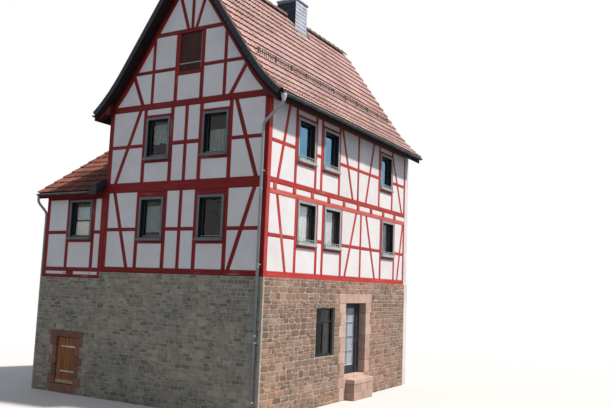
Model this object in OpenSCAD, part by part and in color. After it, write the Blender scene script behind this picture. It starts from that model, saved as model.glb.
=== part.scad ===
// Half timbered house: a rubble stone storey, two jointed timber storeys and a tiled roof,
// with a low timber wing on its left and a plain party wall at the back.
// Millimetres. X = 0 under the ridge, Y = 0 on the gable's timber face, Z = 0 at the lowest ground.

/* [House] */
// Width of the gable front
house_w = 6000; // [5800:50:6400]
// Length from the gable to the party wall
house_l = 10000; // [9900:50:10600]
// Height of the stone storey
stone_h = 3750; // [3600:10:3900]
// Height from the stone to the beam under the third storey
lower_h = 2425; // [2350:5:2500]
// Height from that beam's top to the gable's tie beam
upper_h = 2215; // [2150:5:2300]
// Thickness of the stone walls
stone_t = 500; // [420:10:560]
// Thickness of the timber walls
timber_t = 160; // [140:5:180]

/* [Roof] */
// Rise of the ridge above the gable's tie beam
ridge_rise = 4475; // [4350:5:4550]
// Rise per unit of width on the main slope
roof_pitch = 1.45; // [1.42:0.01:1.48]
// Rise per unit of width at the eaves
eaves_pitch = 0.8; // [0.7:0.05:0.9]
// How far the eaves stand out from the wall
eaves_out = 450; // [400:10:500]
// How far the verge stands out from the gable
verge_out = 250; // [200:10:300]
// Thickness of the roof
roof_t = 200; // [160:10:220]

/* [Wing] */
// Width of the wing
wing_w = 2600; // [2500:50:2800]
// Depth of the wing from front to back
wing_l = 5600; // [5400:50:5800]
// Height of the wing's ridge above the stone storey
wing_ridge_rise = 4500; // [4440:10:4510]
// Height of the wing's eaves above the stone storey
wing_eaves_rise = 2505; // [2480:5:2530]

/* [Windows and doors] */
// Width of a gable window
window_w = 930; // [880:10:960]
// Height of an upper window
window_h = 1280; // [1200:10:1300]
// Width of the cellar doorway
cellar_door_w = 840; // [780:10:900]
// Height of the cellar doorway
cellar_door_h = 1450; // [1350:10:1550]
// Width of the entrance doorway
entrance_w = 1490; // [1400:10:1560]
// Height of the entrance doorway
entrance_h = 2300; // [2200:10:2350]
// Height of the ground floor above the lowest ground
ground_z = 750; // [700:10:800]

/* [Hidden] */
$fn = 40;

// Main levels
half_w = house_w / 2;
seat = 0.3;
sill_h = 160;
floor_beam_h = 295;
tie_h = 190;
floor_beam_z = stone_h + lower_h;
floor3_z = floor_beam_z + floor_beam_h;
tie_z = floor3_z + upper_h;
attic_z = tie_z + tie_h;
ridge_z = attic_z + ridge_rise;
party_t = 300;
party_y = house_l - party_t;
proud = 40;
infill_out = 12;
infill_in = 10;
inner_w = half_w - timber_t;

// The roof's line: straight from the ridge, then a bell-cast from the knee to the eaves
knee_d = half_w - 700;
eaves_d = half_w + eaves_out;
cast_k = (roof_pitch - eaves_pitch) / (2 * (eaves_d - knee_d));
cast_steps = 4;
function cast(d) = max(0, d - knee_d);
function roof_top(d) = ridge_z - roof_pitch * d + cast_k * cast(d) * cast(d);
function roof_slope(d) = roof_pitch - 2 * cast_k * cast(d);
function roof_under(d, t) = roof_top(d) - t * sqrt(1 + roof_slope(d) * roof_slope(d));
wall_ds = concat([0], [for (i = [0:cast_steps]) knee_d + i * (half_w - knee_d) / cast_steps]);
roof_ds = concat(wall_ds, [half_w + eaves_out / 2, eaves_d]);
plate_z = roof_under(half_w, roof_t);

// Tile courses: each lies on the one below it, its foot raised and its head low
first_course = 280;
course = 378;
tile_foot = 42;
tile_head = 12;
last_foot_d = 250;
ridge_course_d = 150;
function raised(d, by) = roof_top(d) + by * sqrt(1 + roof_slope(d) * roof_slope(d));
function next_course(d, run) = d - run / sqrt(1 + pow(roof_slope(d - 0.3 * run), 2));
function course_ds(d) = d > last_foot_d ? concat([d], course_ds(next_course(d, course))) : [];
tile_ds = concat([eaves_d], course_ds(next_course(eaves_d, first_course)), [ridge_course_d]);
tile_line = [for (i = [0:len(tile_ds) - 2]) each [
    [tile_ds[i] - (i > 0 ? seat : 0), raised(tile_ds[i], tile_foot)],
    [tile_ds[i + 1], raised(tile_ds[i + 1], tile_head)]]];

// The wing's roof: two straight slopes that meet over the middle of its depth
wing_mid = wing_l / 2;
wing_ridge_z = stone_h + wing_ridge_rise;
wing_eaves_out = 250;
wing_eaves_z = stone_h + wing_eaves_rise;
wing_pitch = (wing_ridge_z - wing_eaves_z) / (wing_mid + wing_eaves_out);
wing_roof_t = 160;
wing_verge_out = 150;
wing_drop = wing_roof_t * sqrt(1 + wing_pitch * wing_pitch);
function wing_top(y) = wing_ridge_z - wing_pitch * abs(y - wing_mid);
wing_plate_z = wing_top(0) - wing_drop;
wing_x = -half_w - wing_w;
wing_stone_h = stone_h - 200;

// Timber sizes
post_w = 130;
rail_h = 100;
brace_w = 125;
corner_w = 170;
rafter_h = 150;

// Windows: x or y of the middle, height of the foot, width, height
lower_window_z = floor_beam_z - 165 - window_h;
upper_window_z = tie_z - 255 - window_h;
gable_windows = [
    [-half_w + 1915, lower_window_z, window_w, window_h],
    [half_w - 1870, lower_window_z, window_w, window_h],
    [-half_w + 1995, upper_window_z, window_w, window_h],
    [half_w - 1850, upper_window_z, window_w, window_h]];
wing_front_window = [wing_x + 1585, lower_window_z + 40, 1000, window_h - 40];
east_lower_windows = [for (y = [2200, 3810, party_y - 1580]) [y, lower_window_z, 1090, window_h]];
east_upper_windows = [for (y = [2050, 3590, party_y - 1830]) [y, upper_window_z, 1040, window_h]];
west_windows = [for (z = [lower_window_z, upper_window_z]) [party_y - 2100, z, 1040, window_h]];
wing_west_window = [wing_mid, lower_window_z, 1000, window_h];
frame_w = 75;
frame_out = 25;
sash_w = 50;
sash_back = 150;
sash_face = 105;
glass_back = 131;
glass_face = 123;
sill_out = 100;
sill_end = 20;
sill_drop = 25;
sill_rise = 60;

// Doors
surround_out = 55;
cellar_x = -4200;
cellar_sill_z = 250;
cellar_jamb = 180;
cellar_pin_x = cellar_x + cellar_door_w / 2 - 27;
cellar_pin_y = -24;
cellar_hinges = [cellar_sill_z + 0.28 * cellar_door_h, cellar_sill_z + 0.8 * cellar_door_h];
entrance_y = 5565;
entrance_jamb = 350;
entrance_leaf_x = half_w - 260;
leaf_t = 50;
entrance_side = 280;
entrance_pin_x = entrance_leaf_x - 15;
entrance_pin_y = entrance_y - entrance_w / 2 + 70;
entrance_hinges = [ground_z + 350, ground_z + 1850];
entrance_door_top = ground_z + entrance_h - 70;
shop_y = 3500;
shop_w = 1200;
shop_z = 1450;
shop_h = 1460;

// Chimney
chimney_w = 770;
chimney_y = [5300, 6100];
chimney_top = ridge_z + 570;

// A wall plane's own X, Y and outward direction become the house's
module on_front() {
    rotate([90, 0, 0]) children();
}
module on_east(x) {
    translate([x, 0, 0]) rotate([90, 0, 90]) children();
}
module on_west(x) {
    mirror([1, 0, 0]) on_east(x) children();
}
module layer(inner, outer) {
    translate([0, 0, inner]) linear_extrude(outer - inner) children();
}

// Timbers in a wall plane. The main beams stand foremost. Posts, rails and braces are halved
// into them and into one another, and each kind lies a little further back.
$kind = "all";
set_backs = [["beam", 0], ["post", 4], ["brace", 7], ["rail", 10]];
module of_kind(kind) {
    if ($kind == "all" || $kind == kind) children();
}
module jointed() {
    for (kind = set_backs) {
        $kind = kind[0];
        layer(-timber_t, -kind[1]) children();
    }
}
module beam(a0, a1, z, h) {
    of_kind("beam") translate([a0, z]) square([a1 - a0, h]);
}
module corner_post(a, z0, z1, w = corner_w) {
    of_kind("beam") translate([a - w / 2, z0]) square([w, z1 - z0]);
}
module post(a, z0, z1, w = post_w) {
    of_kind("post") translate([a - w / 2, z0]) square([w, z1 - z0]);
}
module rail(a0, a1, z, h = rail_h) {
    of_kind("rail") translate([a0, z]) square([a1 - a0, h]);
}
module brace(p, q, w = brace_w) {
    run = q - p;
    of_kind("brace") translate(p) rotate(atan2(run[1], run[0]))
        translate([-w / 2, -w / 2]) square([norm(run) + w, w]);
}

// Openings and window units in a wall plane
module opening(win) {
    translate([win[0] - win[2] / 2, win[1]]) square([win[2], win[3]]);
}
module shrunk_opening(win, by) {
    opening([win[0], win[1] + by, win[2] - 2 * by, win[3] - 2 * by]);
}
module window_frame(win) {
    layer(-timber_t, frame_out) difference() {
        opening(win);
        shrunk_opening(win, frame_w);
    }
    layer(-sash_back, -sash_face) difference() {
        shrunk_opening(win, frame_w);
        shrunk_opening(win, frame_w + sash_w);
    }
    layer(seat, sill_out) translate([win[0] - win[2] / 2 - sill_end, win[1] - sill_drop])
        square([win[2] + 2 * sill_end, sill_drop + sill_rise]);
}
module window_glass(win) {
    layer(-glass_back, -glass_face) shrunk_opening(win, frame_w + sash_w);
}

// A wall's posts beside each window, and the rails over and under it
module window_timbers(win, z0, z1, head = rail_h) {
    left = win[0] - win[2] / 2;
    right = win[0] + win[2] / 2;
    post(left - post_w / 2, z0, z1);
    post(right + post_w / 2, z0, z1);
    rail(left, right, win[1] - rail_h);
    rail(left, right, win[1] + win[3], head);
}

// Gable wall in its plane, cut to the underside of the roof
module gable_outline(z0, drop = 0) {
    t = roof_t + drop;
    right = [for (i = [len(wall_ds) - 1:-1:0]) [wall_ds[i], roof_under(wall_ds[i], t)]];
    left = [for (i = [1:len(wall_ds) - 1]) [-wall_ds[i], roof_under(wall_ds[i], t)]];
    polygon(concat([[-half_w, z0], [half_w, z0]], right, left));
}
module gable_rafters() {
    of_kind("beam") difference() {
        translate([-half_w, tie_z]) square([house_w, ridge_z - tie_z]);
        gable_outline(stone_h, rafter_h);
    }
}

loft_x = 70;
loft_w = 840;
loft_z = attic_z + 880;
loft_h = 1170;
collar_z = loft_z + loft_h;

module loft_opening() {
    translate([loft_x - loft_w / 2, loft_z]) square([loft_w, loft_h]);
}
module gable_lower_timbers() {
    z0 = stone_h;
    z1 = floor_beam_z;
    left = gable_windows[0];
    right = gable_windows[1];
    beam(-half_w, half_w, z0, sill_h);
    beam(-half_w, half_w, z1, floor_beam_h);
    corner_post(-half_w + corner_w / 2, z0, z1);
    corner_post(half_w - corner_w / 2, z0, z1);
    window_timbers(left, z0, z1, 170);
    window_timbers(right, z0, z1, 170);
    post((left[0] + right[0]) / 2, z0, z1, 115);
    rail_z = z0 + 1250;
    rail(-half_w, left[0] - window_w / 2, rail_z);
    rail(left[0] + window_w / 2, right[0] - window_w / 2, rail_z);
    rail(right[0] + window_w / 2, half_w, rail_z);
    brace([-half_w + 390, z1], [-half_w + 1045, z0 + sill_h]);
    brace([half_w - 410, z1], [half_w - 1180, z0 + sill_h]);
}
module gable_upper_timbers() {
    z0 = floor3_z;
    z1 = tie_z;
    left = gable_windows[2];
    right = gable_windows[3];
    beam(-half_w, half_w, z1, tie_h);
    corner_post(-half_w + corner_w / 2, z0, z1);
    corner_post(half_w - corner_w / 2, z0, z1);
    window_timbers(left, z0, z1, 80);
    window_timbers(right, z0, z1, 80);
    post((left[0] + right[0]) / 2, z0, z1, 115);
    rail_z = z0 + 1070;
    rail(-half_w, left[0] - window_w / 2, rail_z);
    rail(left[0] + window_w / 2, right[0] - window_w / 2, rail_z, 115);
    rail(right[0] + window_w / 2, half_w, rail_z);
    brace([-half_w + 1250, z1], [-half_w + 385, z0]);
    brace([half_w - 1150, z1], [half_w - 385, z0]);
}
module attic_timbers() {
    z0 = attic_z;
    beam(-half_w, half_w, collar_z, 120);
    for (x = [loft_x - loft_w / 2 - post_w / 2, loft_x + loft_w / 2 + post_w / 2]) {
        post(x, z0, collar_z);
    }
    post(-1330, z0, collar_z + 60, 110);
    post(1385, z0, collar_z + 60, 110);
    rail(loft_x - loft_w / 2, loft_x + loft_w / 2, loft_z - 120, 120);
    rail(-half_w, loft_x - loft_w / 2, z0 + 940);
    rail(loft_x + loft_w / 2, half_w, z0 + 940);
    brace([-half_w + 860, z0 + 990], [-half_w + 1320, z0 - 40]);
    brace([half_w - 770, z0 + 990], [half_w - 1390, z0 - 40]);
    post(loft_x + 30, collar_z, ridge_z, 110);
    brace([loft_x - 110, collar_z + 80], [loft_x - 520, collar_z + 1300], 110);
    brace([loft_x + 170, collar_z + 80], [loft_x + 560, collar_z + 1300], 110);
}
module gable_timbers() {
    gable_lower_timbers();
    gable_upper_timbers();
    attic_timbers();
    gable_rafters();
}
module gable_frame() {
    color("firebrick") on_front() jointed() intersection() {
        gable_outline(stone_h);
        gable_timbers();
    }
}
module gable_infill() {
    color("white") on_front() layer(-timber_t + infill_in, -infill_out) difference() {
        gable_outline(stone_h);
        gable_timbers();
        for (win = gable_windows) opening(win);
        loft_opening();
    }
}

// Side walls in their plane, between the gable's corner posts and the party wall
first_joist = 400;
joist_pitch = 1040;
joist_w = 150;
joist_ys = [for (y = [first_joist:joist_pitch:party_y - joist_w]) y];
joist_z = floor_beam_z - 15;
joist_h = 160;
wall_plate_h = 200;
module side_outline(z0) {
    translate([timber_t, z0]) square([party_y - timber_t, plate_z - z0]);
}
module side_beams() {
    beam(0, house_l, stone_h, sill_h);
    beam(0, house_l, joist_z - 140, 140);
    beam(0, house_l, joist_z + joist_h, floor3_z - joist_z - joist_h);
    beam(0, house_l, plate_z - wall_plate_h, wall_plate_h);
}
module joist_gap() {
    translate([timber_t, joist_z]) square([party_y - timber_t, joist_h]);
}
module joist_ends() {
    for (y = joist_ys) translate([y - joist_w / 2, joist_z]) square([joist_w, joist_h]);
}
module side_posts(ys, z0, z1) {
    for (y = ys) post(y, z0, z1, 120);
}
module east_lower_timbers() {
    z0 = stone_h + sill_h;
    z1 = joist_z - 140;
    for (win = east_lower_windows) window_timbers(win, z0, z1, z1 - win[1] - win[3] + 1);
    side_posts([party_y - 3830, party_y - 60], z0, z1);
    rail_z = stone_h + 1090;
    rail(0, 1600, rail_z);
    rail(2800, 3200, rail_z);
    rail(4400, party_y - 2150, rail_z);
    rail(party_y - 1010, party_y, rail_z);
    brace([550, z1], [1090, z0]);
    brace([5495, z1], [4750, z0]);
    brace([party_y - 3430, z1], [party_y - 2650, z0]);
    brace([party_y - 160, z1], [party_y - 610, z0]);
}
module east_upper_timbers() {
    z0 = floor3_z;
    z1 = plate_z - wall_plate_h;
    for (win = east_upper_windows) window_timbers(win, z0, z1, 80);
    side_posts([party_y - 4130, party_y - 60], z0, z1);
    rail_z = floor3_z + 975;
    rail(0, 1500, rail_z);
    rail(2600, 3050, rail_z);
    rail(4130, party_y - 2400, rail_z);
    rail(party_y - 1260, party_y, rail_z);
    brace([1050, z1], [540, z0]);
    brace([4350, z1], [5185, z0]);
    brace([party_y - 2910, z1], [party_y - 3490, z0]);
    brace([party_y - 1180, z1 - 250], [party_y - 285, z0]);
}
module east_timbers() {
    side_beams();
    east_lower_timbers();
    east_upper_timbers();
}
module east_frame() {
    color("firebrick") on_east(half_w) jointed() difference() {
        intersection() {
            side_outline(stone_h);
            east_timbers();
        }
        joist_gap();
    }
}
module east_infill() {
    color("white") on_east(half_w) layer(-timber_t + infill_in, -infill_out) difference() {
        side_outline(stone_h);
        east_timbers();
        joist_ends();
        for (win = concat(east_lower_windows, east_upper_windows)) opening(win);
    }
}
module west_storey(win, z0, z1, rail_z) {
    window_timbers(win, z0, z1, 80);
    side_posts([for (i = [1:5]) i * (party_y - 3140) / 6], z0, z1);
    side_posts([party_y - 60], z0, z1);
    rail(0, win[0] - win[2] / 2, rail_z);
    rail(win[0] + win[2] / 2, party_y, rail_z);
    brace([700, z1], [1060, z0]);
    brace([party_y - 3400, z1], [party_y - 3980, z0]);
    brace([party_y - 200, z1], [party_y - 800, z0]);
}
module west_timbers() {
    side_beams();
    west_storey(west_windows[0], stone_h, joist_z, stone_h + 1090);
    west_storey(west_windows[1], floor3_z, plate_z, floor3_z + 975);
}
module west_frame() {
    color("firebrick") on_west(half_w) jointed() difference() {
        intersection() {
            side_outline(stone_h);
            west_timbers();
        }
        joist_gap();
    }
}
module west_infill() {
    color("white") on_west(half_w) layer(-timber_t + infill_in, -infill_out) difference() {
        side_outline(stone_h);
        west_timbers();
        joist_ends();
        for (win = west_windows) opening(win);
    }
}

// Wing walls
wing_sill_h = 120;
module wing_front_outline() {
    translate([wing_x, wing_stone_h]) square([wing_w, wing_plate_z - wing_stone_h]);
}
module wing_front_timbers() {
    z0 = wing_stone_h;
    win = wing_front_window;
    beam(wing_x, -half_w, z0, rail_h);
    beam(wing_x, -half_w, stone_h, wing_sill_h);
    beam(wing_x, -half_w, wing_plate_z - wall_plate_h, wall_plate_h);
    corner_post(wing_x + 70, z0, wing_plate_z, 140);
    corner_post(-half_w - 70, z0, wing_plate_z, 140);
    window_timbers(win, stone_h, wing_plate_z, 60);
    rail(wing_x, win[0] - win[2] / 2, stone_h + 1180);
    rail(win[0] + win[2] / 2, -half_w, stone_h + 1180);
    rail(wing_x + 1080, wing_x + 1400, z0, 200);
}
module wing_front_frame() {
    color("firebrick") on_front() jointed() intersection() {
        wing_front_outline();
        wing_front_timbers();
    }
}
module wing_front_infill() {
    color("white") on_front() layer(-timber_t + infill_in, -infill_out) difference() {
        wing_front_outline();
        wing_front_timbers();
        opening(wing_front_window);
    }
}
module wing_west_outline() {
    y0 = timber_t;
    y1 = wing_l - timber_t;
    polygon([[y0, wing_stone_h], [y1, wing_stone_h], [y1, wing_top(y1) - wing_drop],
        [wing_mid, wing_ridge_z - wing_drop], [y0, wing_top(y0) - wing_drop]]);
}
module wing_west_timbers() {
    z0 = stone_h;
    z1 = wing_plate_z - 100;
    win = wing_west_window;
    beam(0, wing_l, wing_stone_h, rail_h);
    beam(0, wing_l, z0, wing_sill_h);
    beam(0, wing_l, z1, 230);
    window_timbers(win, z0, z1, 60);
    side_posts([timber_t + 50, wing_l - timber_t - 50], wing_stone_h, z1);
    side_posts([1150, wing_l - 1150], z0, z1);
    rail(0, win[0] - win[2] / 2, z0 + 1180);
    rail(win[0] + win[2] / 2, wing_l, z0 + 1180);
    brace([350, z1], [950, z0]);
    brace([wing_l - 350, z1], [wing_l - 950, z0]);
    post(wing_mid, z1, wing_ridge_z);
    for (y = [wing_mid - 1300, wing_mid + 1300]) post(y, z1, wing_ridge_z, 120);
    rail(0, wing_l, z1 + 1000);
}
module wing_west_frame() {
    color("firebrick") on_west(-wing_x) jointed() intersection() {
        wing_west_outline();
        wing_west_timbers();
    }
}
module wing_west_infill() {
    color("white") on_west(-wing_x) layer(-timber_t + infill_in, -infill_out) difference() {
        wing_west_outline();
        wing_west_timbers();
        opening(wing_west_window);
    }
}
module wing_north_wall() {
    color("white") {
        block([wing_x - proud, wing_l + proud - stone_t, 0], [-side_x, wing_l + proud, wing_stone_h]);
        block([wing_x, wing_l - timber_t, wing_stone_h], [-side_x, wing_l, stone_h]);
        block([wing_x, wing_l - timber_t, stone_h], [-half_w, wing_l, wing_plate_z]);
    }
}

// Stone storey
module block(low, high) {
    translate(low) cube(high - low);
}
cellar_x0 = cellar_x - cellar_door_w / 2 - cellar_jamb;
cellar_x1 = cellar_x + cellar_door_w / 2 + cellar_jamb;
cellar_top = cellar_sill_z + cellar_door_h + 200;
front_y = -proud;
front_back = front_y + stone_t;
side_x = half_w + proud;
module base_front_left() {
    color("tan") block([wing_x - proud, front_y, 0], [cellar_x0, front_back, wing_stone_h]);
}
module base_front_over_door() {
    color("tan") block([cellar_x0, front_y, cellar_top], [cellar_x1, front_back, wing_stone_h]);
}
module base_front_right() {
    color("tan") {
        block([cellar_x1, front_y, 0], [-half_w, front_back, wing_stone_h]);
        block([-half_w, front_y, 0], [side_x, front_back, stone_h]);
    }
}
module east_wall(y0, y1, z0, z1) {
    block([side_x - stone_t, y0, z0], [side_x, y1, z1]);
}
entrance_y0 = entrance_y - entrance_w / 2 - entrance_jamb;
entrance_y1 = entrance_y + entrance_w / 2 + entrance_jamb;
entrance_top = ground_z + entrance_h + 300;
module base_east_south() {
    color("tan") difference() {
        east_wall(front_back, entrance_y0, 0, stone_h);
        on_east(side_x) layer(-2 * stone_t, stone_t) opening([shop_y, shop_z, shop_w, shop_h]);
    }
}
module base_east_over_door() {
    color("tan") east_wall(entrance_y0, entrance_y1, entrance_top, stone_h);
}
module base_east_north() {
    color("tan") east_wall(entrance_y1, party_y, 0, stone_h);
}
module base_west() {
    color("tan") mirror([1, 0, 0]) east_wall(front_back, party_y, 0, stone_h);
}
module wing_base_west() {
    color("tan") block([wing_x - proud, front_back, 0],
        [wing_x - proud + stone_t, wing_l + proud - stone_t, wing_stone_h]);
}
module party_wall() {
    color("white") {
        block([-side_x, party_y, 0], [side_x, house_l, stone_h]);
        translate([0, house_l, 0]) on_front() layer(0, party_t) gable_outline(stone_h);
    }
}

// Floors
module ground_floor() {
    x = side_x - stone_t;
    color("gray") {
        block([-x, front_back, ground_z - 200], [x, party_y, ground_z]);
        block([wing_x - proud + stone_t, front_back, cellar_sill_z - 200],
            [-side_x, wing_l + proud - stone_t, cellar_sill_z]);
    }
}
module floor_storey2() {
    color("peru") {
        block([-inner_w, timber_t, stone_h], [inner_w, party_y, stone_h + sill_h]);
        block([wing_x + timber_t, timber_t, stone_h], [-half_w, wing_l - timber_t, stone_h + sill_h]);
    }
}
module floor_storey3() {
    color("peru") {
        block([-inner_w, timber_t, joist_z + joist_h], [inner_w, party_y, floor3_z]);
        for (y = joist_ys) {
            block([-half_w, y - joist_w / 2, joist_z],
                [half_w + 12, y + joist_w / 2, joist_z + joist_h]);
        }
    }
}
module attic_floor() {
    color("peru") block([-inner_w, timber_t, tie_z], [inner_w, party_y, plate_z]);
}

// Doorways
module cellar_door_surround() {
    color("indianred") on_front() layer(proud - stone_t, surround_out) difference() {
        translate([cellar_x0, 0]) square([cellar_x1 - cellar_x0, cellar_top]);
        opening([cellar_x, cellar_sill_z, cellar_door_w, cellar_door_h]);
    }
}
module entrance_surround() {
    color("indianred") on_east(side_x) layer(-stone_t, 15) difference() {
        translate([entrance_y0, 0]) square([entrance_y1 - entrance_y0, entrance_top]);
        opening([entrance_y, ground_z, entrance_w, entrance_h]);
    }
}
module entrance_frame() {
    color("dimgray") on_east(entrance_leaf_x) layer(0, 70) difference() {
        opening([entrance_y, ground_z, entrance_w, entrance_h]);
        y0 = entrance_y - entrance_w / 2 + 65;
        y1 = entrance_y + entrance_w / 2 - entrance_side;
        translate([y0, ground_z - 1]) square([y1 - y0, entrance_door_top + 11 - ground_z]);
    }
}
module entrance_step() {
    x = side_x + 15;
    color("indianred") block([x, entrance_y - 640, 0], [x + 330, entrance_y + 760, ground_z - 90]);
}
module shop_window_frame() {
    color("dimgray") on_east(side_x) layer(-160, -80) difference() {
        opening([shop_y, shop_z, shop_w, shop_h]);
        shrunk_opening([shop_y, shop_z, shop_w, shop_h], 70);
    }
}
module shop_window_glass() {
    color("lightblue") on_east(side_x) layer(-125, -115)
        shrunk_opening([shop_y, shop_z, shop_w, shop_h], 70);
}

// Windows and loft door
module front_window_frames() {
    color("slategray") on_front() {
        for (win = gable_windows) window_frame(win);
        window_frame(wing_front_window);
    }
}
module front_window_glass() {
    color("lightblue") on_front() {
        for (win = gable_windows) window_glass(win);
        window_glass(wing_front_window);
    }
}
module east_window_frames() {
    color("slategray") on_east(half_w)
        for (win = concat(east_lower_windows, east_upper_windows)) window_frame(win);
}
module east_window_glass() {
    color("lightblue") on_east(half_w)
        for (win = concat(east_lower_windows, east_upper_windows)) window_glass(win);
}
module west_window_frames() {
    color("slategray") {
        on_west(half_w) for (win = west_windows) window_frame(win);
        on_west(-wing_x) window_frame(wing_west_window);
    }
}
module west_window_glass() {
    color("lightblue") {
        on_west(half_w) for (win = west_windows) window_glass(win);
        on_west(-wing_x) window_glass(wing_west_window);
    }
}
module loft_door() {
    color("saddlebrown") on_front() layer(-110, -50) loft_opening();
}

// Roofs
module roof_half() {
    top = concat([[0, ridge_z], [ridge_course_d, roof_top(ridge_course_d)]],
        [for (i = [len(tile_line) - 1:-1:0]) tile_line[i]]);
    under = [for (i = [len(roof_ds) - 1:-1:0]) [roof_ds[i], roof_under(roof_ds[i], roof_t)]];
    difference() {
        translate([0, house_l, 0]) on_front() layer(0, house_l + verge_out)
            polygon(concat(top, under));
        block([-1, chimney_y[0], attic_z], [chimney_w / 2, chimney_y[1], chimney_top]);
    }
}
module roof_east() {
    color("salmon") roof_half();
}
module roof_west() {
    color("salmon") mirror([1, 0, 0]) roof_half();
}
module wing_roof() {
    y0 = -wing_eaves_out;
    y1 = wing_l + wing_eaves_out;
    color("salmon") on_west(-wing_x + wing_verge_out) layer(-wing_w - wing_verge_out, 0)
        polygon([[y0, wing_top(y0)], [wing_mid, wing_ridge_z], [y1, wing_top(y1)],
            [y1, wing_top(y1) - wing_drop], [wing_mid, wing_ridge_z - wing_drop],
            [y0, wing_top(y0) - wing_drop]]);
}
ridge_r = 125;
module ridge_cap(pitch) {
    difference() {
        circle(ridge_r);
        polygon([[0, 30], [3 * ridge_r, 30 - 3 * ridge_r * pitch],
            [-3 * ridge_r, 30 - 3 * ridge_r * pitch]]);
        translate([-2 * ridge_r, -2 * ridge_r]) square([4 * ridge_r, 1.35 * ridge_r]);
    }
}
module ridge_tiles() {
    color("salmon") {
        for (run = [[-verge_out, chimney_y[0]], [chimney_y[1], house_l]]) {
            translate([0, run[1], ridge_z - 30]) on_front()
                layer(0, run[1] - run[0]) ridge_cap(roof_pitch);
        }
        translate([0, wing_mid, wing_ridge_z - 30]) on_west(-wing_x + wing_verge_out)
            layer(-wing_w + 500, 0) ridge_cap(wing_pitch);
    }
}
verge_w = 260;
verge_t = 35;
module verge_half() {
    top = [for (d = roof_ds) [d, roof_under(d, -25)]];
    under = [for (i = [len(roof_ds) - 1:-1:0])
        [roof_ds[i], roof_under(roof_ds[i], verge_w)]];
    polygon(concat(top, under));
}
module verge_boards() {
    color("darkslategray") {
        for (side = [0, 1]) mirror([side, 0, 0])
            translate([0, -verge_out, 0]) on_front() layer(0, verge_t) verge_half();
    }
}

// Gutters, downpipes and the snow guard
gutter_r = 65;
module gutter(length, r = gutter_r) {
    rotate([90, 0, 0]) linear_extrude(length) difference() {
        circle(r);
        circle(r - 6);
        translate([-2 * r, 0]) square([4 * r, 2 * r]);
    }
}
gutter_x = eaves_d + gutter_r;
gutter_z = roof_top(eaves_d) - 60;
wing_gutter_r = 55;
module gutters() {
    color("silver") {
        for (side = [-1, 1]) translate([side * gutter_x, house_l, gutter_z])
            gutter(house_l + verge_out);
        for (y = [-wing_eaves_out - wing_gutter_r, wing_l + wing_eaves_out + wing_gutter_r])
            translate([wing_x - wing_verge_out, y, wing_eaves_z - 50]) rotate([0, 0, 90])
                gutter(wing_w + wing_verge_out, wing_gutter_r);
    }
}
pipe_r = 40;
module rod(p, q, r = pipe_r) {
    run = q - p;
    flat = norm([run[0], run[1]]);
    translate(p) rotate([0, atan2(flat, run[2]), atan2(run[1], run[0])]) cylinder(h = norm(run), r = r);
}
module pipe(route) {
    for (i = [0:len(route) - 2]) rod(route[i], route[i + 1]);
    for (i = [1:len(route) - 2]) translate(route[i]) sphere(pipe_r + 4);
}
pipe_foot = 450;
module downpipes() {
    color("silver") {
        x = half_w - 170;
        pipe([[gutter_x, -150, gutter_z - gutter_r], [gutter_x, -150, gutter_z - 280],
            [x, -100, gutter_z - 750], [x, -100, pipe_foot]]);
        for (z = [floor3_z + 100, stone_h + 300, 2000])
            block([x - 50, -100, z], [x + 50, z > stone_h ? 0 : -proud, z + 40]);
        wx = wing_x - proud - 60;
        wy = -wing_eaves_out - wing_gutter_r;
        pipe([[wx, wy, wing_eaves_z - 50 - wing_gutter_r], [wx, wy, wing_eaves_z - 300],
            [wx, 60, wing_eaves_z - 620], [wx, 60, 60]]);
        for (z = [1200, 3000])
            block([wx, 20, z], [wing_x - proud, 100, z + 40]);
        block([wx, 20, 4800], [wing_x, 100, 4840]);
    }
}
guard_d = 2400;
module snow_guard() {
    z = lookup(guard_d, tile_line) + seat;
    color("dimgray") {
        for (i = [0:30]) translate([guard_d, 150 + i * 300, z]) cube([20, 20, 210]);
        for (dz = [60, 180]) translate([guard_d, 100, z + dz]) cube([20, 9100, 20]);
    }
}
module chimney() {
    color("slategray") {
        block([-chimney_w / 2, chimney_y[0], plate_z], [chimney_w / 2, chimney_y[1], chimney_top]);
        block([-chimney_w / 2 - 35, chimney_y[0] - 35, chimney_top],
            [chimney_w / 2 + 35, chimney_y[1] + 35, chimney_top + 60]);
    }
}

// Cellar door: planks that open outward on two strap hinges
module cellar_door() {
    x0 = cellar_x - cellar_door_w / 2 + 10;
    x1 = cellar_x + cellar_door_w / 2 - 20;
    color("saddlebrown") block([x0, 0, cellar_sill_z + 12],
        [x1, 45, cellar_sill_z + cellar_door_h - 10]);
}
eye_h = 60;
module cellar_hinge_straps() {
    color("black") for (z = cellar_hinges) translate([cellar_pin_x, cellar_pin_y, z]) difference() {
        union() {
            translate([0, 0, -eye_h / 2]) cylinder(h = eye_h, r = 20);
            translate([-640, 16, -22]) cube([640, 8, 44]);
        }
        translate([0, 0, -eye_h]) cylinder(h = 2 * eye_h, r = 9.5);
    }
}
module cellar_hinge_pins() {
    jamb_x = cellar_x + cellar_door_w / 2;
    color("black") for (z = cellar_hinges) {
        translate([cellar_pin_x, cellar_pin_y, z - 50]) cylinder(h = 95, r = 9);
        block([cellar_pin_x - 9, cellar_pin_y - 9, z - 50], [jamb_x, cellar_pin_y + 9, z - 32]);
    }
}

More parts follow.
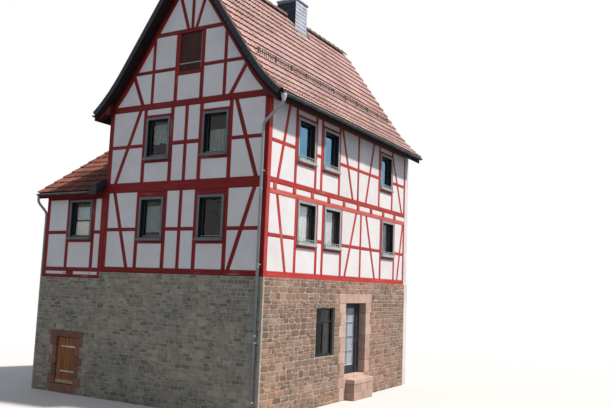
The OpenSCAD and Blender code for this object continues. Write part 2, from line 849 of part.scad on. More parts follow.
// Entrance: a glazed leaf that opens inward on two knuckle hinges
leaf_y0 = entrance_pin_y + 5;
leaf_y1 = entrance_y + entrance_w / 2 - entrance_side - 10;
leaf_z0 = ground_z + 15;
leaf_z1 = entrance_door_top;
stile_w = 110;
kick_h = 260;
module leaf_panes() {
    cols = 2;
    rows = 4;
    bar = 30;
    w = leaf_y1 - leaf_y0 - 2 * stile_w;
    h = leaf_z1 - leaf_z0 - stile_w - kick_h;
    pane_w = (w - (cols - 1) * bar) / cols;
    pane_h = (h - (rows - 1) * bar) / rows;
    for (i = [0:cols - 1]) for (j = [0:rows - 1])
        translate([leaf_y0 + stile_w + i * (pane_w + bar), leaf_z0 + kick_h + j * (pane_h + bar)])
            square([pane_w, pane_h]);
}
module entrance_door() {
    color("saddlebrown") {
        on_east(entrance_leaf_x) layer(0, leaf_t) difference() {
            translate([leaf_y0, leaf_z0]) square([leaf_y1 - leaf_y0, leaf_z1 - leaf_z0]);
            leaf_panes();
        }
        for (z = entrance_hinges) difference() {
            union() {
                translate([entrance_pin_x, entrance_pin_y, z - 30]) cylinder(h = 60, r = 14);
                block([entrance_leaf_x - 5, entrance_pin_y, z - 30],
                    [entrance_leaf_x, entrance_pin_y + 70, z + 30]);
            }
            translate([entrance_pin_x, entrance_pin_y, z - 40]) cylinder(h = 80, r = 8.5);
        }
    }
}
module entrance_door_glass() {
    color("lightblue") on_east(entrance_leaf_x) layer(20, 28) leaf_panes();
}
module entrance_hinge_pins() {
    jamb_y = entrance_pin_y - 5;
    color("black") for (z = entrance_hinges) {
        translate([entrance_pin_x, entrance_pin_y, z - 62]) cylinder(h = 124, r = 8);
        for (end = [-62, 32]) {
            translate([entrance_pin_x, entrance_pin_y, z + end]) cylinder(h = 30, r = 14);
            block([entrance_leaf_x - 5, jamb_y - 60, z + end], [entrance_leaf_x, jamb_y, z + end + 30]);
        }
    }
}

base_front_left();
base_front_over_door();
base_front_right();
base_east_south();
base_east_over_door();
base_east_north();
base_west();
party_wall();
wing_base_west();
wing_north_wall();
ground_floor();
floor_storey2();
floor_storey3();
attic_floor();
cellar_door_surround();
entrance_surround();
entrance_frame();
entrance_step();
shop_window_frame();
shop_window_glass();
gable_frame();
gable_infill();
east_frame();
east_infill();
west_frame();
west_infill();
wing_front_frame();
wing_front_infill();
wing_west_frame();
wing_west_infill();
front_window_frames();
front_window_glass();
east_window_frames();
east_window_glass();
west_window_frames();
west_window_glass();
loft_door();
roof_east();
roof_west();
wing_roof();
ridge_tiles();
verge_boards();
gutters();
downpipes();
snow_guard();
chimney();
cellar_door();
cellar_hinge_straps();
cellar_hinge_pins();
entrance_door();
entrance_door_glass();
entrance_hinge_pins();
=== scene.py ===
import bpy, bmesh, math, random
from mathutils import Matrix, Vector, noise


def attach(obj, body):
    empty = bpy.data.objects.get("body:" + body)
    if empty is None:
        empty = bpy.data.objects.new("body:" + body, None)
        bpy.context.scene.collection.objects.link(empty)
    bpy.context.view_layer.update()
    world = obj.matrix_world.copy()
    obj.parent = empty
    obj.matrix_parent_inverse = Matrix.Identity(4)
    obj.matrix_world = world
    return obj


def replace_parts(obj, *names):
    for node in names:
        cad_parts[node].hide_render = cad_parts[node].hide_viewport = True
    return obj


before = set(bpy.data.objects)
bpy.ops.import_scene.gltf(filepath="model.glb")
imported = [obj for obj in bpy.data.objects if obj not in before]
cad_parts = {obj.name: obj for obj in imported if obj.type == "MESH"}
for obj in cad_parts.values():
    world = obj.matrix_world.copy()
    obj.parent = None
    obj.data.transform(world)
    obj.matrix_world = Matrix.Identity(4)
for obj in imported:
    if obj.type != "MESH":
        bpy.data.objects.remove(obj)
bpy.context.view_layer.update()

# CAMERA. It stands before the corner of the house, a little above eye level, and looks up at
# the gable and along the eaves wall. Its place and lens follow from the photograph's lines.
scene = bpy.context.scene
eye = Vector((13.3088, -15.5287, 3.5258))
heading, pitch, roll = (math.radians(angle) for angle in (30.3033, 6.7475, 2.1501))
lens = bpy.data.cameras.new("camera")
lens.sensor_width = 36
lens.lens = 41.219
lens.clip_end = 400
camera = bpy.data.objects.new("camera", lens)
camera.matrix_world = (Matrix.Translation(eye) @ Matrix.Rotation(heading, 4, "Z")
                       @ Matrix.Rotation(math.pi / 2 + pitch, 4, "X") @ Matrix.Rotation(roll, 4, "Z"))
scene.collection.objects.link(camera)
scene.camera = camera
scene.view_settings.view_transform = "Standard"

# STUDIO. A pale level floor that fades into a white backdrop, a high sun from the right and
# rear, as in the photograph, and an even pale light all round.


class Nodes:
    """A node tree that is written step by step."""

    def __init__(self, tree):
        tree.nodes.clear()
        self.tree = tree

    def add(self, kind, inputs=None, **settings):
        """A node with its settings and inputs; a colour is three numbers, or one for a grey."""
        made = self.tree.nodes.new(kind)
        for key, value in settings.items():
            setattr(made, key, value)
        for key, value in (inputs or {}).items():
            socket = made.inputs[key]
            value = self.mask(value) if isinstance(value, str) else value
            if isinstance(value, bpy.types.NodeSocket):
                self.tree.links.new(value, socket)
            elif socket.type == "RGBA":
                socket.default_value = opaque(value)
            else:
                socket.default_value = value
        return made

    def reckon(self, way, first, second=0.0):
        return self.add("ShaderNodeMath", {0: first, 1: second}, operation=way).outputs[0]

    def spread(self, value, low, high, start=0.0, end=1.0, way="LINEAR"):
        """The value stretched from the range start to end on to the range low to high."""
        return self.add("ShaderNodeMapRange", {"Value": value, "From Min": start, "From Max": end,
                                               "To Min": low, "To Max": high},
                        interpolation_type=way).outputs["Result"]

    def mix(self, share, first, second, way="MIX"):
        return self.add("ShaderNodeMix", {0: share, 6: first, 7: second}, data_type="RGBA",
                        blend_type=way).outputs[2]

    def surface(self, what, axis=None):
        """The surface's Position or Normal, or one of its parts."""
        whole = self.add("ShaderNodeNewGeometry").outputs[what]
        return self.add("ShaderNodeSeparateXYZ", {0: whole}).outputs[axis] if axis else whole

    def grain(self):
        """The place within a stone, board, tile or cloth, as it is kept at the corners."""
        return self.add("ShaderNodeAttribute", attribute_name="grain").outputs["Vector"]


def opaque(colour):
    return (*colour, 1) if isinstance(colour, (tuple, list)) else (colour, colour, colour, 1)


floor_finish = bpy.data.materials.new("studio_floor")
floor_finish.use_nodes = True
floor = Nodes(floor_finish.node_tree)
seen = floor.add("ShaderNodeLightPath").outputs["Is Camera Ray"]
away = floor.add("ShaderNodeVectorMath", {0: floor.surface("Position"), 1: (0, 4.5, 0)}, operation="DISTANCE")
fade = floor.spread(away.outputs["Value"], 0.0, 1.0, 9.0, 24.0, "SMOOTHSTEP")
matt = floor.add("ShaderNodeBsdfDiffuse", {"Color": floor.mix(seen, (0.26, 0.275, 0.30), 0.72)})
white = floor.add("ShaderNodeEmission", {"Color": 1.0, "Strength": 1.0})
both = floor.add("ShaderNodeMixShader", {0: floor.reckon("MULTIPLY", fade, seen), 1: matt.outputs[0],
                                         2: white.outputs[0]})
floor.add("ShaderNodeOutputMaterial", {"Surface": both.outputs[0]})
floor_mesh = bpy.data.meshes.new("studio_floor")
floor_mesh.from_pydata([(-90, -90, 0), (90, -90, 0), (90, 90, 0), (-90, 90, 0)], [], [(0, 1, 2, 3)])
floor_mesh.materials.append(floor_finish)
studio_floor = bpy.data.objects.new("studio_floor", floor_mesh)
scene.collection.objects.link(studio_floor)

scene.world = bpy.data.worlds.new("studio")
scene.world.use_nodes = True
sky = Nodes(scene.world.node_tree)
ray = sky.add("ShaderNodeLightPath").outputs
direct = sky.reckon("MAXIMUM", ray["Is Camera Ray"],
                    sky.reckon("MAXIMUM", ray["Is Glossy Ray"], ray["Is Transmission Ray"]))
air = sky.add("ShaderNodeBackground", {"Color": sky.mix(direct, (0.88, 0.93, 1.02), 1.0),
                                       "Strength": sky.spread(direct, 0.395, 1.0)})
sky.add("ShaderNodeOutputWorld", {"Surface": air.outputs[0]})

sun_height, sun_side = math.radians(54), math.radians(17)
lamp = bpy.data.lights.new("sun", "SUN")
lamp.energy = 4.35
lamp.angle = math.radians(3)
lamp.color = (1.0, 0.90, 0.825)
sun = bpy.data.objects.new("sun", lamp)
to_sun = Vector((math.cos(sun_height) * math.cos(sun_side), math.cos(sun_height) * math.sin(sun_side),
                 math.sin(sun_height)))
sun.rotation_euler = to_sun.to_track_quat("Z", "Y").to_euler()
scene.collection.objects.link(sun)

# STONE STOREY. Walls of small rubble laid in rough courses and pointed nearly flush with lime,
# in larger pink stones on the entrance side. The solid walls of the frame stay as the bed of
# mortar, and each stone stands a little out of it.
house_x, house_end, stone_face, stone_top, wing_stone_top = 3.0, 9.7, 3.04, 3.75, 3.55
wing_left, wing_x, wing_back = -5.64, 5.6, 5.64
cellar_surround = (-4.80, -3.60, 0.0, 1.90)
entrance_surround = (4.47, 6.66, 0.0, 3.35)
shop_opening = (2.90, 4.10, 1.45, 2.91)
rng = random.Random(7)


def wall_plane(side, distance):
    """Gives a wall's own measure: a function of (along, out, up) that returns the point."""
    outward = Vector({"south": (0, -1, 0), "north": (0, 1, 0), "east": (1, 0, 0), "west": (-1, 0, 0)}[side])
    sideways = Vector((abs(outward.y), abs(outward.x), 0))

    def place(along, out, up):
        return sideways * along + outward * (distance + out) + Vector((0, 0, up))
    return place


front_wall = wall_plane("south", 0.0)
east_wall, west_wall = wall_plane("east", house_x), wall_plane("west", house_x)
wing_west_wall, wing_north_wall = wall_plane("west", wing_x), wall_plane("north", wing_x)
east_stone_face = wall_plane("east", stone_face)


def make_piece(name, points, faces, material, body="house", slot=None, smooth=False, **kept):
    """One object of the house, with the values that its finish reads kept at its corners."""
    mesh = bpy.data.meshes.new(name)
    mesh.from_pydata(points, [], faces)
    shape = bmesh.new()
    shape.from_mesh(mesh)
    bmesh.ops.recalc_face_normals(shape, faces=shape.faces)
    shape.to_mesh(mesh)
    shape.free()
    for key, values in kept.items():
        lie = isinstance(values[0], (tuple, Vector))
        layer = mesh.attributes.new(key, "FLOAT_VECTOR" if lie else "FLOAT", "POINT")
        layer.data.foreach_set("vector" if lie else "value",
                               [part for value in values for part in value] if lie else values)
    mesh.polygons.foreach_set("use_smooth", [smooth] * len(mesh.polygons))
    mesh.materials.append(material)
    mesh.update()
    piece = bpy.data.objects.new(name, mesh)
    scene.collection.objects.link(piece)
    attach(piece, body)
    return piece


def skin(rows, columns, around=True):
    """Faces that join rows of corners, round each row or from its first corner to its last."""
    steps = range(columns if around else columns - 1)
    return [(row * columns + i, row * columns + (i + 1) % columns, (row + 1) * columns + (i + 1) % columns,
             (row + 1) * columns + i) for row in range(rows - 1) for i in steps]


block_faces = []
for axis, other, third in ((0, 1, 2), (1, 2, 0), (2, 0, 1)):
    far, aside, beyond = 4 >> axis, 4 >> other, 4 >> third
    ring = (0, aside, aside + beyond, beyond)
    block_faces += [tuple(3 * (end + corner) + axis for corner in ring) for end in (0, far)]
    block_faces += [(3 * corner + other, 3 * corner + third, 3 * (corner + far) + third,
                     3 * (corner + far) + other) for corner in ring]
block_faces += [(3 * corner, 3 * corner + 1, 3 * corner + 2) for corner in range(8)]


class Heap:
    """Corners, faces and one tone per stone, board or tile, gathered into one mesh."""

    def __init__(self):
        self.points, self.faces, self.tone, self.grain = [], [], [], []

    def add(self, points, faces, tone=None, grain=None):
        start = len(self.points)
        self.points += points
        self.faces += [tuple(start + corner for corner in face) for face in faces]
        self.tone += [rng.random() if tone is None else tone] * len(points)
        self.grain += grain if grain else [tuple(point) for point in points]

    def block(self, place, a0, a1, b0, b1, c0, c1, tone=None, trim=0.006, stray=0.0):
        """A board or block with every arris and corner taken off, in the directions that place names."""
        points = []
        for corner in range(8):
            for axis in range(3):
                spot = []
                for n, (low, high) in enumerate(((a0, a1), (b0, b1), (c0, c1))):
                    far = corner & (4 >> n)
                    edge = 0 if n == axis else -trim if far else trim
                    spot.append((high if far else low) + edge + rng.uniform(-stray, stray))
                points.append(place(*spot))
        self.add(points, block_faces, tone)

    def loft(self, rows, tone=None, ends=(0, -1)):
        """A skin round rows of corners, closed at the rows that ends names."""
        wide = len(rows[0])
        caps = [tuple(range(end % len(rows) * wide, (end % len(rows) + 1) * wide)) for end in ends]
        self.add([point for row in rows for point in row], skin(len(rows), wide) + caps, tone)

    def piece(self, name, material, slot, body="house", smooth=False):
        return make_piece(name, self.points, self.faces, material, body, slot, smooth, tone=self.tone,
                          grain=self.grain)


def loose_stone(heap, wall, low, high, z0, z1, bed, rise):
    """One stone: an uneven outline in the bed, a worn shoulder and a slightly crowned face."""
    mid_u, mid_z = (low + high) / 2, (z0 + z1) / 2
    half_u, half_z = (high - low) / 2, (z1 - z0) / 2
    tilt = rng.uniform(-0.07, 0.07)
    outline, points = [], []
    for way_u, way_v in ((1, 1), (-1, 1), (-1, -1), (1, -1)):
        cuts = [(rng.uniform(0.93, 1.0), rng.uniform(0.35, 0.80)),
                (rng.uniform(0.55, 0.90), rng.uniform(0.92, 1.0))]
        for u, v in cuts if way_u == way_v else cuts[::-1]:
            outline.append((way_u * u, way_v * v))
    for size, out in ((1.0, bed - 0.006), (0.97, bed + 0.45 * rise), (0.80, bed + 0.92 * rise)):
        points += [wall(mid_u + half_u * size * u - tilt * half_z * v, out + rng.uniform(-0.0015, 0.0015),
                        mid_z + half_z * size * v + tilt * half_u * u) for u, v in outline]
    points.append(wall(mid_u + rng.uniform(-0.2, 0.2) * half_u, bed + rise, mid_z))
    crown = [(16 + step, 16 + (step + 1) % 8, 24) for step in range(8)]
    heap.add(points, skin(3, 8) + crown)


def levels_between(low, high, thin, thick):
    levels = [low]
    while high - levels[-1] > thick:
        levels.append(levels[-1] + rng.uniform(thin, thick))
    if high - levels[-1] < 0.6 * thin and len(levels) > 1:
        levels.pop()
    return levels + [high]


def free_spans(low, high, z0, z1, holes):
    """What the openings leave of one course."""
    spans = [(low, high)]
    for left, right, foot, head in holes:
        if z1 > foot + 0.01 and z0 < head - 0.01:
            spans = [part for start, end in spans for part in
                     ((start, min(end, left)), (max(start, right), end)) if part[1] - part[0] > 0.04]
    return spans


def lay_rubble(heap, wall, low, high, head, holes=(), course=(0.055, 0.14), length=(0.09, 0.34)):
    """Rough courses between the openings, in places with two thin stones in a course."""
    bed, half_joint = 0.04, 0.0055
    fixed = sorted({0.0, head} | {z for hole in holes for z in hole[2:] if 0 < z < head})
    levels = [0.0]
    for foot, top in zip(fixed, fixed[1:]):
        levels += levels_between(foot, top, *course)[1:]
    for z0, z1 in zip(levels, levels[1:]):
        for at, end in free_spans(low, high, z0, z1, holes):
            while at < end - 0.01:
                reach = min(rng.uniform(*length) * (0.7 + 2.4 * (z1 - z0)), end - at)
                if end - at - reach < 0.09:
                    reach = end - at
                parts = [(z0, z1)]
                if z1 - z0 > 0.115 and rng.random() < 0.30:
                    split = z0 + (z1 - z0) * rng.uniform(0.4, 0.6)
                    parts = [(z0, split), (split, z1)]
                for under, over in parts:
                    loose_stone(heap, wall, at + half_joint, at + reach - half_joint,
                                under + half_joint + rng.uniform(-0.004, 0.004),
                                over - half_joint + rng.uniform(-0.004, 0.004), bed,
                                rng.uniform(0.006, 0.016))
                at += reach
    return heap


effect_of = {}


def shared_effect(name, source, clouds):
    """A group of masks, each a cloud of noise drawn out by its own measure, finer with Size."""
    group = bpy.data.node_groups.new(name, "ShaderNodeTree")
    group.interface.new_socket("Size", in_out="INPUT", socket_type="NodeSocketFloat")
    for label, _, _ in clouds:
        group.interface.new_socket(label, in_out="OUTPUT", socket_type="NodeSocketFloat")
    nodes = Nodes(group)
    entry, leave = group.nodes.new("NodeGroupInput"), group.nodes.new("NodeGroupOutput")
    lie = source(nodes)
    for label, measure, detail in clouds:
        drawn = nodes.add("ShaderNodeVectorMath", {0: lie, 1: measure}, operation="MULTIPLY")
        cloud = nodes.add("ShaderNodeTexNoise", {"Vector": drawn.outputs[0], "Scale": entry.outputs["Size"],
                                                 "Detail": detail})
        group.links.new(cloud.outputs["Fac"], leave.inputs[label])
        effect_of[label] = group


shared_effect("weathering", lambda nodes: nodes.surface("Position"), (
    ("Stains", (0.55, 0.55, 0.55), 4.0), ("Patches", (2.6, 2.6, 2.6), 5.0), ("Specks", (38, 38, 38), 6.0),
    ("Grit", (160, 160, 160), 3.0)))


class Finish(Nodes):
    """A material laid coat by coat; the masks of the shared effects are read by their names."""

    def __init__(self, name, size=1.0):
        self.material = bpy.data.materials.new(name)
        self.material.use_nodes = True
        super().__init__(self.material.node_tree)
        self.size, self.masks, self.colour = size, {}, None

    def mask(self, name):
        if name not in self.masks and name in effect_of:
            effect = self.add("ShaderNodeGroup", node_tree=effect_of[name])
            effect.inputs["Size"].default_value = self.size
            self.masks.update(effect.outputs.items())
        elif name not in self.masks:
            self.masks[name] = self.add("ShaderNodeAttribute", attribute_name=name).outputs["Fac"]
        return self.masks[name]

    def ramp(self, source, *stops):
        made = self.add("ShaderNodeValToRGB", {"Fac": source})
        marks = made.color_ramp.elements
        while len(marks) < len(stops):
            marks.new(0.5)
        for mark, (at, colour) in zip(marks, stops):
            mark.position = at
            mark.color = opaque(colour)
        return made.outputs["Color"]

    def shade(self, source, *stops, share=1.0):
        """Darkens or lifts the colour so far by a mask."""
        self.colour = self.mix(share, self.colour, self.ramp(source, *stops), "MULTIPLY")

    def cover(self, share, colour):
        """Lays another colour over the one so far."""
        self.colour = self.mix(share, self.colour, colour)

    def blotched(self, main, other, low, high):
        """A colour that turns into another in soft patches."""
        self.colour = self.mix(self.ramp("Patches", (low, 0.0), (high, 1.0)), main, other)

    def done(self, roughness, relief, bump, depth, **plain):
        raised = self.add("ShaderNodeBump", {"Height": relief, "Strength": bump, "Distance": depth})
        shader = self.add("ShaderNodeBsdfPrincipled", {
            "Base Color": self.colour, "Roughness": roughness, "Normal": raised.outputs["Normal"],
            **{key.replace("_", " "): value for key, value in plain.items()}})
        self.add("ShaderNodeOutputMaterial", {"Surface": shader.outputs[0]})
        return self.material


def stone_material(name, dark, middle, light, warm, warm_from=0.80):
    stone = Finish(name)
    stone.colour = stone.ramp("tone", (0.0, dark), (0.35, middle), (0.72, light), (warm_from, warm),
                              (1.0, middle))
    stone.shade("Patches", (0.30, 0.82), (0.70, 1.12))
    stone.shade("Specks", (0.30, 0.74), (0.62, 1.10), share=0.75)
    stone.shade("Stains", (0.38, (0.80, 0.83, 0.85)), (0.62, (1.08, 1.04, 0.99)))
    return stone.done(0.92, stone.mix(0.5, "Specks", "Grit"), 0.55, 0.008, Specular_IOR_Level=0.2)


def mortar_material(name, shade, light):
    mortar = Finish(name)
    mortar.colour = mortar.ramp("Patches", (0.3, shade), (0.7, light))
    mortar.shade("Grit", (0.3, 0.75), (0.65, 1.1), share=0.8)
    return mortar.done(0.95, "Grit", 0.5, 0.005, Specular_IOR_Level=0.2)


def finish_nodes(material, *names):
    """Gives solids of the frame, which stay as they are, their finish."""
    for name in names:
        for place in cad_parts[name].material_slots:
            place.material = material


grey_rubble = stone_material("grey_rubble", (0.215, 0.202, 0.168), (0.328, 0.308, 0.258),
                             (0.448, 0.420, 0.355), (0.375, 0.300, 0.235))
pink_rubble = stone_material("pink_rubble", (0.230, 0.150, 0.115), (0.345, 0.225, 0.170),
                             (0.440, 0.320, 0.250), (0.430, 0.235, 0.165), 0.76)
lime_mortar = mortar_material("lime_mortar", (0.375, 0.355, 0.300), (0.500, 0.475, 0.402))
finish_nodes(lime_mortar, "base_front_left", "base_front_over_door", "base_front_right", "base_east_south",
             "base_east_over_door", "base_east_north", "base_west", "wing_base_west")

gable_stones = lay_rubble(Heap(), front_wall, -5.60, -house_x, wing_stone_top, [cellar_surround])
lay_rubble(gable_stones, front_wall, -house_x, 2.98, stone_top)
gable_stones.piece("gable_rubble", grey_rubble, "rubble_stone")
lay_rubble(Heap(), east_wall, 0.02, house_end, stone_top, [shop_opening, entrance_surround], (0.09, 0.19),
           (0.16, 0.42)).piece("entrance_side_rubble", pink_rubble, "rubble_stone")
for name, *stretch in (("rear_side_rubble", west_wall, wing_back, house_end, stone_top),
                       ("wing_side_rubble", wing_west_wall, -0.02, wing_back - 0.02, wing_stone_top),
                       ("wing_rear_rubble", wing_north_wall, wing_left + 0.02, -stone_face, wing_stone_top)):
    lay_rubble(Heap(), *stretch).piece(name, grey_rubble, "rubble_stone")

# TIMBER FRAME. Hewn oak members painted oxblood red: sills, floor beams, posts, rails and
# braces, halved into one another and pinned with wooden pegs. Beams stand foremost, and
# posts, braces and rails each lie a little further back, as in the frame's solids.
sill_h, floor_beam, storey3, tie, attic, ridge = 0.16, 6.175, 6.47, 8.685, 8.875, 13.35
timber_depth, corner_width = 0.16, 0.17
set_back = {"beam": 0.0, "post": 0.004, "brace": 0.007, "rail": 0.010, "joist": -0.018}
knee, eaves, pitch_of_roof, bell_cast = 2.3, 3.45, 1.45, 0.65 / 2.3
roof_depth, plate_top = 0.20, 8.848
wing_mid, wing_ridge, wing_pitch, wing_plate_top, wing_end = 2.8, 8.25, 0.6541, 6.227, 5.6


def roof_height(across):
    return ridge - pitch_of_roof * across + bell_cast * max(0.0, across - knee) ** 2


def roof_steepness(across):
    return pitch_of_roof - 2 * bell_cast * max(0.0, across - knee)


def under_roof(across, depth):
    return roof_height(across) - depth * math.hypot(1, roof_steepness(across))


shared_effect("wood_grain", Nodes.grain, (("Streaks", (0.9, 26, 26), 5.0), ("Cracks", (0.35, 13, 9), 3.0),
                                          ("Along", (1.1, 2.5, 2.5), 3.0)))


def wood_material(name, deep, main, light, roughness=0.55, crack=0.5, worn=None, bleached=None,
                  sun_side=None):
    """Grain and shakes; on painted oak also bare patches, paint that the sun has bleached, and painted
    sunlight on the faces that look east.
    """
    wood = Finish(name)
    wood.colour = wood.ramp("Streaks", (0.30, deep), (0.52, main), (0.75, light))
    wood.shade("tone", (0.0, 0.86), (1.0, 1.12))
    if bleached:
        wood.cover(wood.spread("tone", 0.0, 0.8, 1.0, 3.0), bleached)
    # Painted sunlight: faces that look east are multiplied up to the lit red, whatever light falls on them.
    if sun_side:
        east = wood.reckon("GREATER_THAN", wood.surface("Normal", "X"), 0.6)
        wood.cover(east, wood.mix(1.0, wood.colour, sun_side, "MULTIPLY"))
    wood.shade("Along", (0.35, 0.86), (0.65, 1.08), share=0.8)
    split = wood.ramp("Cracks", (0.285, 0.0), (0.315, 1.0))
    wood.cover(crack, wood.mix(1.0, wood.colour, split, "MULTIPLY"))
    if worn:
        wood.cover(wood.ramp("Specks", (0.66, 0.0), (0.74, 1.0)), worn)
        loss = wood.mix(0.45, "Along", "Streaks")
        wood.cover(wood.ramp(loss, (0.605, 0.0), (0.66, 0.75)), (0.34, 0.225, 0.20))
    rough = wood.spread("Streaks", roughness - 0.08, roughness + 0.12)
    return wood.done(rough, wood.mix(0.5, "Streaks", split), 0.35, 0.004, Specular_IOR_Level=0.18)


# One oxblood paint in two copies: this darker one is painted shade for the sides that lie in shade, and the
# entrance side's lighter copy below is painted sunlight.
red_oak = wood_material("red_oak", (0.160, 0.009, 0.011), (0.225, 0.013, 0.015), (0.280, 0.024, 0.024),
                        worn=(0.20, 0.04, 0.03), bleached=(0.50, 0.22, 0.19), sun_side=(2.05, 4.1, 3.2))
# The lighter copy of the same paint: painted sunlight for the sunlit entrance side.
painted_sunlit_oak = wood_material("painted_sunlit_oak", (0.360, 0.032, 0.028), (0.480, 0.048, 0.042), (0.560, 0.080, 0.070),
                          worn=(0.30, 0.06, 0.045), bleached=(0.66, 0.20, 0.17))
peg_oak = wood_material("peg_oak", (0.13, 0.010, 0.011), (0.18, 0.014, 0.015), (0.22, 0.022, 0.022))


class Framing:
    """The members of one wall, each shaped in the wall's own plane and trimmed to the roof."""

    def __init__(self, wall, low, high, slope=False):
        self.wall, self.low, self.high, self.slope = wall, low, high, slope
        self.timbers, self.pegs = Heap(), Heap()

    def member(self, path, width, kind, cuts=(), faded=0.0):
        """One timber with worn arrises, a little uneven along its run and sawn off at the cuts."""
        path = [Vector(point) for point in path]
        run = sum((b - a).length for a, b in zip(path, path[1:]))
        parts = max(2, round(run / 0.5))
        marks = [0.0, 0.010, *(run * i / parts for i in range(1, parts)), run - 0.010, run]
        front = rng.uniform(-0.0015, 0.0015) - set_back[kind]
        seed = rng.uniform(0, 90)
        half, soft = width / 2, 0.011
        shape, rings = bmesh.new(), []
        for mark in marks:
            left = mark
            for a, b in zip(path, path[1:]):
                if left <= (b - a).length + 1e-6 or b is path[-1]:
                    break
                left -= (b - a).length
            along = (b - a).normalized()
            across = Vector((-along.y, along.x))
            face = front - (0.007 if mark in (0.0, run) else 0.0)
            section = ((-half, -timber_depth), (-half, face - soft), (-half + soft, face),
                       (half - soft, face), (half, face - soft), (half, -timber_depth))
            ring = []
            for index, (offset, out) in enumerate(section):
                stray = noise.noise(Vector((seed + mark * 1.7, index * 3.1, 0))) * 0.006
                lift = noise.noise(Vector((seed, mark * 2.3, 7 + index))) * 0.003 if out > -0.1 else 0
                spot = a + along * left + across * (offset + stray)
                ring.append(shape.verts.new((spot.x, out + lift, spot.y)))
            rings.append(ring)
        for first, second in zip(rings, rings[1:]):
            for i in range(6):
                shape.faces.new((first[i], first[(i + 1) % 6], second[(i + 1) % 6], second[i]))
        shape.faces.new(rings[0][::-1])
        shape.faces.new(rings[-1])
        inset = 0.0 if kind == "beam" else 0.03
        ends = (((self.low + inset, 0, 0), (-1, 0, 0)), ((self.high - inset, 0, 0), (1, 0, 0)))
        for spot, outward in (*ends, *cuts):
            bmesh.ops.bisect_plane(shape, geom=shape.verts[:] + shape.edges[:] + shape.faces[:],
                                   plane_co=spot, plane_no=outward, clear_outer=True)
            bmesh.ops.holes_fill(shape, edges=[edge for edge in shape.edges if edge.is_boundary])
        along = (path[-1] - path[0]).normalized()
        across = Vector((-along.y, along.x))
        shape.verts.index_update()
        points, grain = [], []
        for corner in shape.verts:
            flat = Vector((corner.co.x, corner.co.z)) - path[0]
            points.append(self.wall(*corner.co))
            grain.append((flat.dot(along) + seed, flat.dot(across) + seed, corner.co.y))
        self.timbers.add(points, [[corner.index for corner in face.verts] for face in shape.faces],
                         rng.random() + faded, grain)
        shape.free()

    def trims(self, *ends):
        """Planes along the underside of the roof where a member's ends meet it."""
        cuts = []
        for along, height in ends if self.slope else ():
            across = abs(along)
            if height > under_roof(across, roof_depth + 0.08):
                while across > 0 and height > under_roof(across, roof_depth + 0.05):
                    across -= 0.01
            way = math.copysign(1, along)
            cuts.append(((way * across, 0, under_roof(across, roof_depth + 0.05)),
                         (way * roof_steepness(across), 0, 1)))
        return cuts

    def beam(self, a0, a1, z, h, faded=0.0):
        self.member([(a0, z + h / 2), (a1, z + h / 2)], h, "beam", self.trims((a0, z + h), (a1, z + h)),
                    faded)

    def corner_post(self, a, z0, z1, w=corner_width):
        self.member([(a, z0), (a, z1)], w, "beam")

    def post(self, a, z0, z1, w=0.13):
        self.member([(a, z0), (a, z1)], w, "post", self.trims((a, z1)) if z0 > tie else ())
        self.peg(a, z0 - 0.05)
        self.peg(a, z1 + 0.05)

    def rail(self, a0, a1, z, h=0.10):
        self.member([(a0, z + h / 2), (a1, z + h / 2)], h, "rail",
                    self.trims((a0, z + h), (a1, z + h)) if z > tie else ())

    def brace(self, p, q, w=0.125):
        p, q = Vector(p), Vector(q)
        reach = (q - p).normalized() * w / 2
        self.member([p - reach, q + reach], w, "brace",
                    self.trims(max(p, q, key=lambda end: end.y)) if min(p.y, q.y) > tie - 0.1 else ())
        for end in (p, q):
            self.peg(*end)

    def peg(self, along, height):
        """A pair of pegs whose heads stand just proud of the timber."""
        if self.slope and height > under_roof(abs(along), roof_depth + 0.1):
            return
        if not self.low + 0.05 < along < self.high - 0.05:
            return
        radius, proud = 0.013, 0.004
        for aside in (-0.028, 0.028):
            ring = [(along + aside + radius * math.cos(math.tau * i / 7),
                     height + radius * math.sin(math.tau * i / 7)) for i in range(7)]
            self.pegs.loft([[self.wall(u, out, z) for u, z in ring] for out in (-0.01, proud)], 0.5, ends=[1])

    def round_window(self, win, z0, z1, head=0.10):
        """Posts beside an opening, and rails under and over it."""
        middle, foot, width, height = win
        left, right = middle - width / 2, middle + width / 2
        self.post(left - 0.065, z0, z1)
        self.post(right + 0.065, z0, z1)
        self.rail(left, right, foot - 0.10)
        self.rail(left, right, foot + height, head)

    def finish(self, name, solid, paint=red_oak):
        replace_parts(self.timbers.piece(f"{name}_timbers", paint, "timber_red"), solid)
        self.pegs.piece(f"{name}_pegs", peg_oak, "timber_red")


gable_windows = [(-1.085, 4.73, 0.93, 1.28), (1.13, 4.73, 0.93, 1.28), (-1.005, 7.15, 0.93, 1.28),
                 (1.15, 7.15, 0.93, 1.28)]
loft_left, loft_right, loft_foot, collar = -0.35, 0.49, 9.755, 10.925

gable = Framing(front_wall, -house_x, house_x, slope=True)
for level, height in ((stone_top, sill_h), (floor_beam, 0.295), (tie, 0.19)):
    gable.beam(-house_x, house_x, level, height)
for foot, head in ((stone_top + sill_h, floor_beam), (storey3, tie)):
    for hand in (-1, 1):
        gable.corner_post(hand * (house_x - corner_width / 2), foot, head)
for pair, foot, head, lintel, rail_z, rail_deep in (
        (gable_windows[:2], stone_top + sill_h, floor_beam, 0.17, 5.0, 0.10),
        (gable_windows[2:], storey3, tie, 0.08, 7.54, 0.115)):
    for win in pair:
        gable.round_window(win, foot, head, lintel)
    left, right, half = pair[0][0], pair[1][0], pair[0][2] / 2
    gable.post((left + right) / 2, foot, head, 0.115)
    gable.rail(-house_x, left - half, rail_z)
    gable.rail(left + half, right - half, rail_z, rail_deep)
    gable.rail(right + half, house_x, rail_z)
gable.brace((-2.61, floor_beam), (-1.955, stone_top + sill_h))
gable.brace((2.59, floor_beam), (1.82, stone_top + sill_h))
gable.brace((-1.75, tie), (-2.615, storey3))
